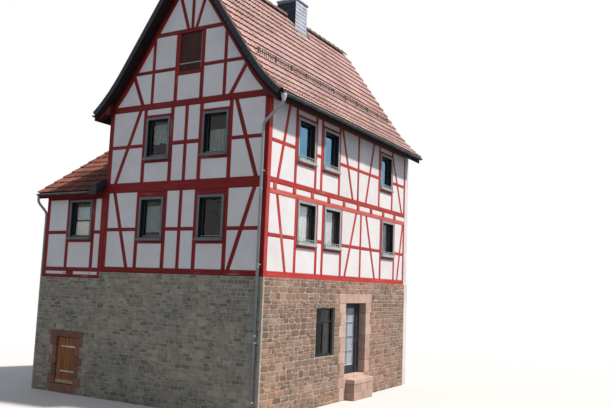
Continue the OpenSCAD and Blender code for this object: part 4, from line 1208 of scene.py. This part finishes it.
def slate_material(name, dark, light, worn):
    slab = Finish(name)
    # Tones above the middle run to the worn colour, light and blue-grey; the chimney's east face takes these
    # as a painted sheen of sunlight.
    slab.colour = slab.ramp("tone", (0.0, dark), (0.45, light), (0.55, worn),
                            (1.0, [1.25 * part for part in worn]))
    slab.shade("Patches", (0.3, 0.75), (0.7, 1.15))
    slab.shade("Specks", (0.3, 0.8), (0.65, 1.15), share=0.6)
    return slab.done(slab.spread("Specks", 0.50, 0.70), "Specks", 0.3, 0.003, Specular_IOR_Level=0.25)


blue_slate = slate_material("blue_slate", (0.013, 0.018, 0.034), (0.030, 0.040, 0.063),
                            (0.450, 0.500, 0.590))
finish_nodes(blue_slate, "chimney")
slates = Heap()


def lay_slate(place, outline, lean, tone):
    """One slate of 6 mm; lean gives how far each point of its outline stands out."""
    slates.loft([[place(u, extra + lean(u, v), v) for u, v in outline] for extra in (0.0, 0.006)], tone)


def cut_slate(place, low, high, foot, head, lift, tone):
    """A slate with its lower corners cut, held out at its foot by the course below."""
    cut = 0.03
    lay_slate(place, [(low, foot + cut), (low + cut, foot), (high - cut, foot), (high, foot + cut),
                      (high, head), (low, head)], lambda u, v: lift * (1 - (v - foot) / (head - foot)), tone)


chimney_top, chimney_mid = ridge + 0.57, (chimney_front + chimney_rear) / 2
half_deep = (chimney_rear - chimney_front) / 2
lowest_slates, slate_w, slate_gauge, slate_long = 12.55, 0.155, 0.135, 0.19
# The east face takes only the light tones, painted sheen for the sun's glare; the other faces take only the
# dark ones.
for wall, centre, way, half, tones in (
        (wall_plane("south", 0.002 - chimney_front), 0.0, 1, chimney_half, (0.0, 0.42)),
        (wall_plane("east", chimney_half + 0.002), chimney_mid, 1, half_deep, (0.62, 1.0)),
        (wall_plane("north", chimney_rear + 0.002), 0.0, -1, chimney_half, (0.0, 0.42)),
        (wall_plane("west", chimney_half + 0.002), chimney_mid, -1, half_deep, (0.0, 0.42))):
    level, row = lowest_slates, 0
    while level < chimney_top - 0.02:
        seams = [-half + slate_w * (j + 0.5 * (row % 2)) for j in range(1, 6)]
        edges = [-half - 0.012, *(seam for seam in seams if abs(seam) < half - 0.05), half + 0.012]
        for low, high in zip(edges, edges[1:]):
            cut_slate(lambda u, out, v: wall(centre + way * u, out, v), low + 0.003, high - 0.003, level,
                      min(level + slate_long, chimney_top), 0.022, rng.uniform(*tones))
        level += slate_gauge
        row += 1


def verge_plane(hand, run):
    """The verge's own measure at one run up the slope: (up the slope, out before it, down)."""
    near = min(run, slope_long - 0.01)
    (d0, z0), (d1, z1) = slope_at(near), slope_at(near + 0.01)
    steep, (d0, z0) = math.atan2(z1 - z0, d0 - d1), slope_at(run)

    def place(up, out, down):
        across = d0 - up * math.cos(steep) - down * math.sin(steep)
        return Vector((hand * max(0.0, across), verge_y - out,
                       z0 + up * math.sin(steep) - down * math.cos(steep)))
    return place


verges, fillets = Heap(), Heap()
verge_step, verge_gauge, verge_slate_w = 0.12, 0.17, 0.215
verge_runs = [min(verge_step * i, slope_long) for i in range(int(slope_long / verge_step) + 2)]
verge_slate = [(0.0, -0.020), (verge_slate_w, -0.020), (verge_slate_w, 0.120), (0.02, 0.124), (0.0, 0.110)]
for hand in (-1, 1):
    planes = [verge_plane(hand, run) for run in verge_runs]
    verges.loft([[place(0.0, out, down) for out, down in ((0.0, 0.002), (0.035, 0.002), (0.035, 0.106),
                                                          (0.0, 0.106))] for place in planes], 0.3)
    fillets.loft([[place(0.0, out, down) for out, down in ((0.047, -0.006), (0.044, -0.048), (0.020, -0.058),
                                                           (-0.010, -0.050))] for place in planes], 0.5)
    run = -0.02
    while run < slope_long - 0.02:
        place = verge_plane(hand, run)
        lay_slate(lambda u, out, v: place(u, 0.037 + out, v), verge_slate,
                  lambda u, v: 0.010 * (1 - u / verge_slate_w), rng.uniform(0.0, 0.30))
        run += verge_gauge
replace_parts(verges.piece("verge_battens", blue_slate, "slate"), "verge_boards")
clay_bedding = mortar_material("clay_bedding", (0.200, 0.130, 0.110), (0.300, 0.205, 0.175))
fillets.piece("verge_fillets", clay_bedding, "clay_tile")

corner_y = -0.372
slates.add([Vector(spot) for spot in ((-3.30, corner_y, 6.16), (-3.30, corner_y, 6.28),
                                      (-3.0, corner_y, 6.12), (-3.0, corner_y, 6.44),
                                      (-3.0, 0.45, 6.88), (-3.0, 0.45, 6.70))],
           [(0, 2, 3, 1), (1, 3, 4), (0, 1, 4, 5), (2, 5, 4, 3), (0, 5, 2)], 0.15)
corner_face = wall_plane("south", 0.002 - corner_y)
for row in range(3):
    foot = 6.10 + 0.105 * row
    left = -3.31 + 0.075 * row
    while left < -3.04:
        cut_slate(corner_face, left, min(left + 0.12, -3.002), foot, min(foot + 0.15, 6.44), 0.010,
                  rng.uniform(0.0, 0.35))
        left += 0.122
slates.piece("slates", blue_slate, "slate")

# CHIMNEY HEAD AND FLASHING. A weathered slab with a drip edge over a narrow neck, and lead
# dressed over the tiles round the foot of the stack.
lead = metal("lead", (0.24, 0.26, 0.29), (0.16, 0.17, 0.19), 0.5, 0.9)
chimney_head = Heap()


def in_world(*spot):
    return Vector(spot)


for over, foot, head, tone, trim in ((0.045, -0.012, 0.064, 0.4, 0.010), (0.015, -0.060, -0.010, 0.2, 0.006)):
    chimney_head.block(in_world, -chimney_half - over, chimney_half + over, chimney_front - over,
                       chimney_rear + over, chimney_top + foot, chimney_top + head, tone, trim)
for hand in (-1, 1):
    beside, over = chimney_half + 0.16, roof_height(chimney_half)
    chimney_head.add([Vector((hand * d, y, z)) for d, z in ((beside, roof_height(beside) + 0.062),
                                                            (chimney_half + 0.006, over + 0.075),
                                                            (chimney_half + 0.020, over + 0.170))
                      for y in (chimney_front - 0.10, chimney_rear + 0.10)], skin(3, 2, around=False), 0.6)
    for edge_y, way in ((chimney_front, -1), (chimney_rear, 1)):
        for i in range(3):
            ends = (chimney_half * (3 - i) / 3 + 0.02, chimney_half * (2 - i) / 3)
            chimney_head.add([Vector((hand * d, edge_y + way * y, roof_height(d) + z))
                              for y, z in ((0.13, 0.058), (0.020, 0.064), (0.026, 0.170)) for d in ends],
                             skin(3, 2, around=False))
chimney_head.piece("chimney_head", lead, "zinc")

# GUTTERS AND DOWNPIPES. Half-round zinc gutters with a rolled front rim, held in hooks, a
# cone under the outlet and soldered round pipes with collars, strapped to the walls.
zinc = metal("zinc", (0.105, 0.112, 0.115), (0.060, 0.062, 0.062), 0.55, 0.6)
pipe_zinc = metal("pipe_zinc", (0.350, 0.395, 0.410), (0.260, 0.295, 0.305), 0.45, 0.15)
rim_zinc = metal("rim_zinc", (0.260, 0.275, 0.285), (0.17, 0.18, 0.18), 0.45, 0.4)
bright_zinc = metal("bright_zinc", (0.54, 0.58, 0.60), (0.38, 0.42, 0.44), 0.45, 0.2)
finish_nodes(zinc, "gutters")
gutter_x, gutter_z, gutter_r = eaves + 0.065, roof_height(eaves) - 0.06, 0.065
wing_gutter_out, wing_gutter_z, wing_gutter_r = 0.305, wing_ridge - wing_pitch * 3.05 - 0.05, 0.055


def swept(heap, path, radius, sides=12, tone=0.5):
    """A round bar or pipe along a path; radius is one number or one for each point."""
    path = [Vector(point) for point in path]
    sizes = radius if isinstance(radius, (list, tuple)) else [radius] * len(path)
    first = Vector((0, 0, 1)) if abs((path[1] - path[0]).normalized().z) < 0.9 else Vector((0, 1, 0))
    rings = []
    for i, (spot, size) in enumerate(zip(path, sizes)):
        way = (path[min(i + 1, len(path) - 1)] - path[max(i - 1, 0)]).normalized()
        first = (first - way * first.dot(way)).normalized()
        second = way.cross(first)
        turns = [math.tau * k / sides for k in range(sides)]
        rings.append([spot + size * (math.cos(turn) * first + math.sin(turn) * second) for turn in turns])
    heap.loft(rings, tone)


def rounded_route(route, reach):
    """The route with each corner bent to a curve that starts and ends at reach from it."""
    route = [Vector(point) for point in route]
    path = [route[0]]
    for before, corner, after in zip(route, route[1:], route[2:]):
        start = corner + (before - corner).normalized() * reach
        end = corner + (after - corner).normalized() * reach
        path += [start * (1 - t) ** 2 + corner * 2 * t * (1 - t) + end * t ** 2
                 for t in (i / 6 for i in range(7))]
    return path + [route[-1]]


def trim_gutter(place, middle, radius, level, ends, rim, hooks, strap=()):
    """The rolled rim along a gutter and the hooks under it; place takes (out, along, up)."""
    swept(trim, [place(middle + radius - 0.004, end, level) for end in ends], rim, 8)
    for along in hooks:
        hook = [(out, along, up) for out, up in strap]
        for angle in (math.radians(degrees) for degrees in range(180, 361, 20)):
            hook.append((middle + (radius + 0.003) * math.cos(angle), along,
                         level + (radius + 0.003) * math.sin(angle)))
        swept(trim, [place(*spot) for spot in hook], 0.006, 6)


trim = Heap()
for hand in (-1, 1):
    trim_gutter(lambda out, along, up: (hand * out, along, up), gutter_x, gutter_r, gutter_z,
                (verge_y, roof_end), 0.011, [0.10 + 0.80 * i for i in range(13)],
                [(eaves - 0.03, gutter_z + 0.035)])
for edge_y, way in ((-wing_gutter_out, -1), (wing_end + wing_gutter_out, 1)):
    trim_gutter(lambda out, along, up: (along, edge_y + way * out, up), 0.0, wing_gutter_r, wing_gutter_z,
                (-5.75, -house_x), 0.009, [-5.62 + 0.80 * i for i in range(4)])
trim.piece("gutter_rims", rim_zinc, "zinc", smooth=True)

pipes, collars = Heap(), Heap()
outlet_y, pipe_x, pipe_y, pipe_r = -0.15, 2.875, -0.10, 0.040
route = [(gutter_x, outlet_y, gutter_z - 0.13), (gutter_x, outlet_y, gutter_z - 0.28),
         (pipe_x, pipe_y, gutter_z - 0.75), (pipe_x, pipe_y, 0.45)]
swept(pipes, rounded_route(route, 0.10), pipe_r, 16)
wing_pipe_x, wing_pipe_y = -5.70, 0.06
wing_route = [(wing_pipe_x, -wing_gutter_out, wing_gutter_z - 0.05),
              (wing_pipe_x, -wing_gutter_out, wing_gutter_z - 0.25),
              (wing_pipe_x, wing_pipe_y, wing_gutter_z - 0.57), (wing_pipe_x, wing_pipe_y, 0.06)]
swept(pipes, rounded_route(wing_route, 0.09), pipe_r, 16)


def collar_ring(centre, direction=(0, 0, 1), size=0.046, long=0.045):
    centre, direction = Vector(centre), Vector(direction).normalized()
    swept(collars, [centre + direction * long * share for share in (-1 / 2, -1 / 2.6, 1 / 2.6, 1 / 2)],
          [0.041, size, size, 0.041], 16)


for level in (gutter_z - 0.90, 6.10, 4.0, 2.2, 0.50):
    collar_ring((pipe_x, pipe_y, level))
for level in (wing_gutter_z - 0.72, 4.0, 2.0):
    collar_ring((wing_pipe_x, wing_pipe_y, level))
swan_top, swan_foot = Vector(route[1]), Vector(route[2])
swan = (swan_foot - swan_top).normalized()
collar_ring(swan_top + swan * 0.12, swan)
collar_ring(swan_foot - swan * 0.12, swan)
for level, wall_y in ((storey3 + 0.10, 0.0), (stone_top + 0.30, 0.0), (2.0, -0.04)):
    collars.block(in_world, pipe_x - 0.050, pipe_x + 0.050, pipe_y, wall_y - 0.001, level, level + 0.04, 0.4,
                  0.004)
    collar_ring((pipe_x, pipe_y, level + 0.02), size=0.047, long=0.040)
for level, wall_x in ((1.2, -5.64), (3.0, -5.64), (4.8, -5.60)):
    collars.block(in_world, wing_pipe_x, wall_x - 0.001, 0.02, 0.10, level, level + 0.04, 0.4, 0.004)
    collar_ring((wing_pipe_x, wing_pipe_y, level + 0.02), size=0.047, long=0.040)
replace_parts(pipes.piece("rain_pipes", pipe_zinc, "zinc", smooth=True), "downpipes")
collars.piece("pipe_collars", pipe_zinc, "zinc")
cone = Heap()
swept(cone, [(gutter_x, outlet_y, gutter_z - drop) for drop in (0.030, 0.060, 0.090, 0.210, 0.250)],
      [0.072, 0.086, 0.084, 0.048, 0.045], 20, 0.9)
cone.piece("outlet_cone", bright_zinc, "zinc", smooth=True)

# SNOW GUARD. A black iron lattice that stands on the entrance side's tiles, with a strut to
# the rafters behind each of its eleven posts.
guard_d = 2.40
guard_z = roof_height(guard_d) + 0.045
guard = Heap()
for lift in (0.035, 0.250):
    guard.block(in_world, guard_d, guard_d + 0.018, 0.10, 9.20, guard_z + lift - 0.010,
                guard_z + lift + 0.010, 0.3, 0.003)
for i in range(83):
    along = 0.12 + 0.11 * i
    guard.block(in_world, guard_d + 0.005, guard_d + 0.015, along, along + 0.030, guard_z + 0.030,
                guard_z + 0.255, 0.5, 0.002)
for i in range(11):
    along = 0.15 + 0.90 * i
    guard.block(in_world, guard_d - 0.004, guard_d + 0.024, along, along + 0.026, guard_z - 0.060,
                guard_z + 0.262, 0.6, 0.003)
    strut_foot = guard_d - 0.165
    swept(guard, [(guard_d + 0.006, along + 0.013, guard_z + 0.240),
                  (strut_foot, along + 0.013, roof_height(strut_foot) + 0.035)], 0.010, 6)
black_iron = metal("black_iron", (0.062, 0.060, 0.060), (0.105, 0.072, 0.055), 0.55, 0.5)
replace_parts(guard.piece("snow_lattice", black_iron, "iron"), "snow_guard")

# PLATE ENDS. The wall plates run out under the gable's overhang, and a short red bracket
# carries the foot of each verge. Both are painted a far darker red than the frame, as the
# shade under the overhang.
plate_ends = Heap()
verge_foot, verge_tip = under_roof(3.0, roof_depth), under_roof(3.34, roof_depth)
bracket = [(2.86, verge_foot - 0.20), (2.86, verge_foot + 0.13), (3.0, verge_foot), (3.34, verge_tip),
           (3.34, verge_tip - 0.08), (3.04, verge_foot - 0.20)]
for hand in (-1, 1):
    plate_ends.block(lambda x, y, z: Vector((hand * x, y, z)), 2.845, 2.995, -0.205, 0.01, plate_top - 0.195,
                     plate_top - 0.002, trim=0.012, stray=0.001)
    plate_ends.loft([[Vector((hand * d, y, z)) for d, z in bracket] for y in (-0.20, -0.02)], 0.2)
# Painted shade: a much darker copy of the frame's red for the plate ends and brackets under the overhang.
painted_shade_oak = wood_material("painted_shade_oak", (0.060, 0.007, 0.009), (0.090, 0.010, 0.012), (0.120, 0.016, 0.017))
plate_ends.piece("plate_ends", painted_shade_oak, "timber_red")

# SANDSTONE. Dressed red blocks frame both doorways: a long lintel over toothed jambs that
# bond into the rubble, with one step before the entrance.


def sandstone_material(name, dark, main, light):
    stone = Finish(name)
    stone.colour = stone.ramp("tone", (0.0, dark), (0.5, main), (1.0, light))
    stone.shade("Patches", (0.3, 0.78), (0.66, 1.08))
    stone.shade("Specks", (0.3, 0.80), (0.62, 1.10), share=0.8)
    return stone.done(0.9, stone.mix(0.4, "Specks", "Grit"), 0.4, 0.006)


red_sandstone = sandstone_material("red_sandstone", (0.165, 0.070, 0.052), (0.245, 0.110, 0.082),
                                   (0.310, 0.155, 0.120))
pink_sandstone = sandstone_material("pink_sandstone", (0.46, 0.300, 0.245), (0.56, 0.39, 0.320),
                                    (0.62, 0.46, 0.39))
cellar_left, cellar_right, cellar_foot, cellar_head = -4.62, -3.78, 0.25, 1.70
entrance_low, entrance_high, entrance_foot, entrance_head = 4.82, 6.31, 0.75, 3.05
joint = 0.003


def dressed_block(heap, place, *box, trim=0.012):
    heap.block(place, *box, trim=trim, stray=0.0015)


def toothed_jambs(heap, place, edges, marks, tooth, back, face, trim):
    """Blocks up both sides of a doorway, every other one reaching further into the wall."""
    outer_low, low, high, outer_high = edges
    for row, (foot, head) in enumerate(zip(marks, marks[1:])):
        reach = tooth * (row % 2)
        for a, b in ((outer_low - reach, low), (high, outer_high + reach)):
            dressed_block(heap, place, a + joint, b - joint, back, face, foot + joint, head - joint,
                          trim=trim)


dressed, tooth, back = Heap(), 0.13, -0.46
outer_left, outer_right, _, lintel_top = cellar_surround
toothed_jambs(dressed, front_wall, (outer_left, cellar_left, cellar_right, outer_right),
              [0.0, cellar_foot, 0.52, 0.86, 1.13, 1.44, cellar_head], tooth, back, 0.059, 0.012)
dressed_block(dressed, front_wall, outer_left - tooth, outer_right + tooth, back, 0.060, cellar_head + joint,
              lintel_top)
dressed_block(dressed, front_wall, cellar_left + joint, cellar_right - joint, back, 0.060, 0.0, cellar_foot)
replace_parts(dressed.piece("cellar_dressings", red_sandstone, "sandstone"), "cellar_door_surround")

jambs, tooth, back = Heap(), 0.09, -0.50
outer_low, outer_high, _, lintel_top = entrance_surround
toothed_jambs(jambs, east_stone_face, (outer_low, entrance_low, entrance_high, outer_high),
              [0.0, 0.40, entrance_foot, 1.16, 1.52, 1.98, 2.35, 2.72, entrance_head], tooth, back, 0.017,
              0.008)
dressed_block(jambs, east_stone_face, outer_low - tooth, outer_high + tooth, back, 0.019,
              entrance_head + joint, lintel_top, trim=0.008)
dressed_block(jambs, east_stone_face, entrance_low + joint, entrance_high - joint, back, 0.020, 0.0,
              entrance_foot, trim=0.010)
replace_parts(jambs.piece("entrance_dressings", pink_sandstone, "sandstone"), "entrance_surround")

step = Heap()
dressed_block(step, in_world, 3.058, 3.385, 4.925, 6.325, 0.51, 0.66, trim=0.014)
for seams, foot, head in ((((4.925, 5.38), (5.386, 5.90), (5.906, 6.325)), 0.26, 0.506),
                          (((4.925, 5.62), (5.626, 6.325)), 0.0, 0.255)):
    for a, b in seams:
        dressed_block(step, in_world, 3.058, 3.372, a + 0.004, b - 0.004, foot, head, trim=0.010)
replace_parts(step.piece("entrance_step_stones", pink_sandstone, "sandstone"), "entrance_step")

# FLOORS. Worn flags below and plain sawn boards above, seen only through the openings.
# They are solids of the frame, and only their finish is laid here.


def board_floor(name, main, dark, each):
    """Boards or flags of one width, with a dark line between them."""
    boards = Finish(name)
    share = boards.reckon("FRACT", boards.reckon("MULTIPLY", boards.surface("Position", "X"), 1 / each))
    boards.blotched(dark, main, 0.3, 0.7)
    boards.shade(share, (0.02, 0.35), (0.06, 1.0))
    return boards.done(0.6, "Specks", 0.2, 0.003)


finish_nodes(board_floor("sawn_boards", (0.36, 0.24, 0.15), (0.26, 0.17, 0.10), 0.16), "floor_storey2",
             "floor_storey3", "attic_floor")
finish_nodes(board_floor("flags", (0.34, 0.32, 0.29), (0.24, 0.23, 0.21), 0.55), "ground_floor")

# CELLAR DOOR. Upright orange-brown planks on ledges, hung on two long forged straps, with a
# latch on the left and a weather board along the foot.
orange_planks = wood_material("orange_planks", (0.170, 0.062, 0.022), (0.320, 0.130, 0.045),
                              (0.450, 0.205, 0.080), 0.55, crack=0.8)
leaf = Heap()
leaf_left, leaf_right, leaf_foot, leaf_head = -4.61, -3.80, 0.262, 1.69
at = leaf_left
for width in (0.18, 0.14, 0.17, 0.15, 0.17):
    leaf.block(front_wall, at + 0.0015, at + width - 0.0015, -0.045, -0.0005 - rng.uniform(0, 0.003),
               leaf_foot, leaf_head, trim=0.005, stray=0.0008)
    at += width
for foot in (0.45, 1.35):
    leaf.block(front_wall, leaf_left + 0.03, leaf_right - 0.03, -0.070, -0.044, foot, foot + 0.12, 0.3)
leaf.grain = [(point[2], point[0], point[1]) for point in leaf.points]
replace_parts(leaf.piece("cellar_planks", orange_planks, "planks_brown", "cellar_door_leaf"), "cellar_door")
weather_board = Heap()
weather_board.block(front_wall, leaf_left + 0.01, leaf_right - 0.01, -0.003, 0.022, leaf_foot + 0.03,
                    leaf_foot + 0.13, 0.9, 0.008)
weather_board.grain = [(point[0], point[2], point[1]) for point in weather_board.points]
bare_pine = wood_material("bare_pine", (0.30, 0.22, 0.13), (0.44, 0.34, 0.22), (0.54, 0.44, 0.31), 0.6)
weather_board.piece("cellar_weather_board", bare_pine, "planks_brown", "cellar_door_leaf")

worn_iron = metal("worn_iron", (0.20, 0.185, 0.17), (0.13, 0.095, 0.075), 0.45, 0.7)
strap_zinc = metal("strap_zinc", (0.66, 0.65, 0.62), (0.46, 0.44, 0.40), 0.5, 0.2)
straps = Heap()
pin_x, pin_y, door_h = -3.807, -0.024, cellar_head - cellar_foot
strap_outline = [(0.018, 0.026), (0.10, 0.028), (0.45, 0.024), (0.53, 0.018), (0.58, 0.030), (0.615, 0.022),
                 (0.645, 0.003)]


def knuckle(heap, x, y, z, radius):
    """The rolled eye of a hinge round its pin, with both rims eased."""
    swept(heap, [(x, y, z + up) for up in (-0.030, -0.027, 0.027, 0.030)],
          [radius - 0.0015, radius, radius, radius - 0.0015], 16, 0.4)


for z in (cellar_foot + 0.28 * door_h, cellar_foot + 0.8 * door_h):
    straps.loft([[Vector((pin_x - back, y, z + h)) for y, h in ((-0.001, -half), (-0.008, 0.002 - half),
                                                                (-0.008, half - 0.002), (-0.001, half))]
                 for back, half in strap_outline], 0.5)
    knuckle(straps, pin_x, pin_y, z, 0.020)
    straps.loft([[Vector((pin_x + a, b, z + h)) for a, b in (
        (0.0, pin_y + 0.012), (-0.03, -0.008), (-0.05, -0.008), (-0.05, -0.001), (-0.01, -0.001),
        (0.012, pin_y + 0.014))] for h in (-0.022, 0.022)], 0.4)
    for back in (0.09, 0.25, 0.42, 0.585):
        swept(straps, [(pin_x - back, out, z) for out in (-0.006, -0.011, -0.013)], [0.010, 0.009, 0.004], 8,
              0.3)
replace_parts(straps.piece("cellar_straps", strap_zinc, "iron", "cellar_door_leaf"), "cellar_hinge_straps")
finish_nodes(worn_iron, "cellar_hinge_pins")
latch = Heap()
latch.block(front_wall, leaf_left + 0.035, leaf_left + 0.075, -0.001, 0.006, 0.90, 1.08, 0.4, 0.003)
latch.block(front_wall, leaf_left + 0.015, leaf_left + 0.125, 0.006, 0.016, 0.995, 1.015, 0.6, 0.003)
pull = [(-0.006, 0.93), (-0.030, 0.935), (-0.034, 0.96), (-0.034, 1.02), (-0.030, 1.045), (-0.006, 1.05)]
swept(latch, [(leaf_left + 0.055, y, z) for y, z in pull], 0.006, 8)
latch.piece("cellar_latch", worn_iron, "iron", "cellar_door_leaf")

# ENTRANCE. A painted oak frame with a fixed side panel, and a glazed leaf of two by four
# panes held by pale beads, on two knuckle hinges, with a lever handle and a kick panel.
blue_black = painted_wood("blue_black", (0.030, 0.036, 0.048), (0.075, 0.080, 0.090), 0.42)
leaf_x, post_inner, side_panel, side_post = 2.74, 4.885, 6.03, 6.10
leaf_wall = wall_plane("east", leaf_x)


def framed_panel(heap, low, high, foot, head, out, tone):
    """A raised field with sloped edges, inside a thin moulding."""
    heap.loft([[leaf_wall(a, deep, z) for a, z in ((low + inset, foot + inset), (high - inset, foot + inset),
                                                   (high - inset, head - inset), (low + inset, head - inset))]
               for deep, inset in ((out, 0.0), (out - 0.010, 0.010), (out + 0.006, 0.045))], tone, ends=[2])


frame_parts = Heap()
panel_low, panel_high = side_post, 6.245
for low, high, foot, head in ((entrance_low, post_inner, entrance_foot, entrance_head),
                              (side_panel, side_post, entrance_foot, entrance_head),
                              (panel_high, entrance_high, entrance_foot, entrance_head),
                              (post_inner, side_panel, 2.991, entrance_head),
                              (panel_low, panel_high, entrance_foot, 0.93),
                              (panel_low, panel_high, 1.78, 1.86),
                              (panel_low, panel_high, 2.98, entrance_head)):
    frame_parts.block(leaf_wall, low, high, 0.0, 0.070, foot, head)
for foot, head in ((0.93, 1.78), (1.86, 2.98)):
    frame_parts.block(leaf_wall, panel_low - 0.005, panel_high + 0.005, 0.010, 0.045, foot - 0.005,
                      head + 0.005, 0.3, 0.004)
    framed_panel(frame_parts, panel_low, panel_high, foot, head, 0.050, 0.6)
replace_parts(frame_parts.piece("entrance_door_frame", blue_black, "joinery_dark"), "entrance_frame")

leaf_low, leaf_high, leaf_bottom, leaf_top = 4.895, 6.02, 0.765, 2.98
stile, kick, bar = 0.11, 0.26, 0.03
inner_low, inner_high = leaf_low + stile, leaf_high - stile
glass_foot, glass_head = leaf_bottom + kick, leaf_top - stile
pane_w = (inner_high - inner_low - bar) / 2
pane_h = (glass_head - glass_foot - 3 * bar) / 4
columns = [inner_low + i * (pane_w + bar) for i in range(2)]
rows = [glass_foot + j * (pane_h + bar) for j in range(4)]
entrance_leaf, beads = Heap(), Heap()
for low, high, foot, head in ((leaf_low, inner_low, leaf_bottom, leaf_top),
                              (inner_high, leaf_high, leaf_bottom, leaf_top),
                              (inner_low, inner_high, glass_head, leaf_top),
                              (inner_low, inner_high, leaf_bottom, glass_foot)):
    entrance_leaf.block(leaf_wall, low, high, 0.0, 0.050, foot, head, trim=0.005)
framed_panel(entrance_leaf, inner_low, inner_high, leaf_bottom + 0.05, glass_foot - 0.03, 0.052, 0.6)
entrance_leaf.block(leaf_wall, columns[0] + pane_w, columns[1], 0.004, 0.046, glass_foot, glass_head, 0.5,
                    0.004)
for foot in rows[1:]:
    for low in columns:
        entrance_leaf.block(leaf_wall, low, low + pane_w, 0.004, 0.046, foot - bar, foot, 0.5, 0.004)
for low in columns:
    for foot in rows:
        mitred_ring(beads, leaf_wall, (low, low + pane_w, foot, foot + pane_h),
                    [(-0.004, 0.030), (-0.004, 0.049), (0.004, 0.052), (0.012, 0.044), (0.014, 0.030)],
                    rng.random())
hinge_x, hinge_y = 2.725, 4.89
for level in (entrance_foot + 0.350, entrance_foot + 1.850):
    knuckle(entrance_leaf, hinge_x, hinge_y, level, 0.014)
    entrance_leaf.block(in_world, leaf_x - 0.005, leaf_x + 0.001, hinge_y, 4.96, level - 0.030, level + 0.030,
                        0.4, 0.002)
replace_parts(entrance_leaf.piece("entrance_leaf_joinery", blue_black, "joinery_dark", "entrance_door_leaf"),
            "entrance_door")
bead_paint = painted_wood("bead_paint", (0.52, 0.56, 0.60), (0.30, 0.32, 0.34), 0.45)
beads.piece("entrance_pane_beads", bead_paint, "window_grey", "entrance_door_leaf")
finish_nodes(black_iron, "entrance_hinge_pins")
finish_nodes(glass_material("milk_glass", (0.52, 0.61, 0.70), 0.30), "entrance_door_glass")
handle = Heap()
handle_y, handle_z = leaf_high - stile / 2, entrance_foot + 1.05
handle.block(leaf_wall, handle_y - 0.020, handle_y + 0.020, 0.049, 0.057, handle_z - 0.13, handle_z + 0.06,
             0.4, 0.003)
swept(handle, rounded_route([(leaf_x + 0.055, handle_y, handle_z), (leaf_x + 0.100, handle_y, handle_z),
                             (leaf_x + 0.104, handle_y - 0.125, handle_z + 0.004)], 0.014), 0.009, 10)
swept(handle, [(leaf_x + out, handle_y, handle_z - 0.085) for out in (0.056, 0.061)], 0.011, 12)
handle.piece("entrance_handle", worn_iron, "iron", "entrance_door_leaf")
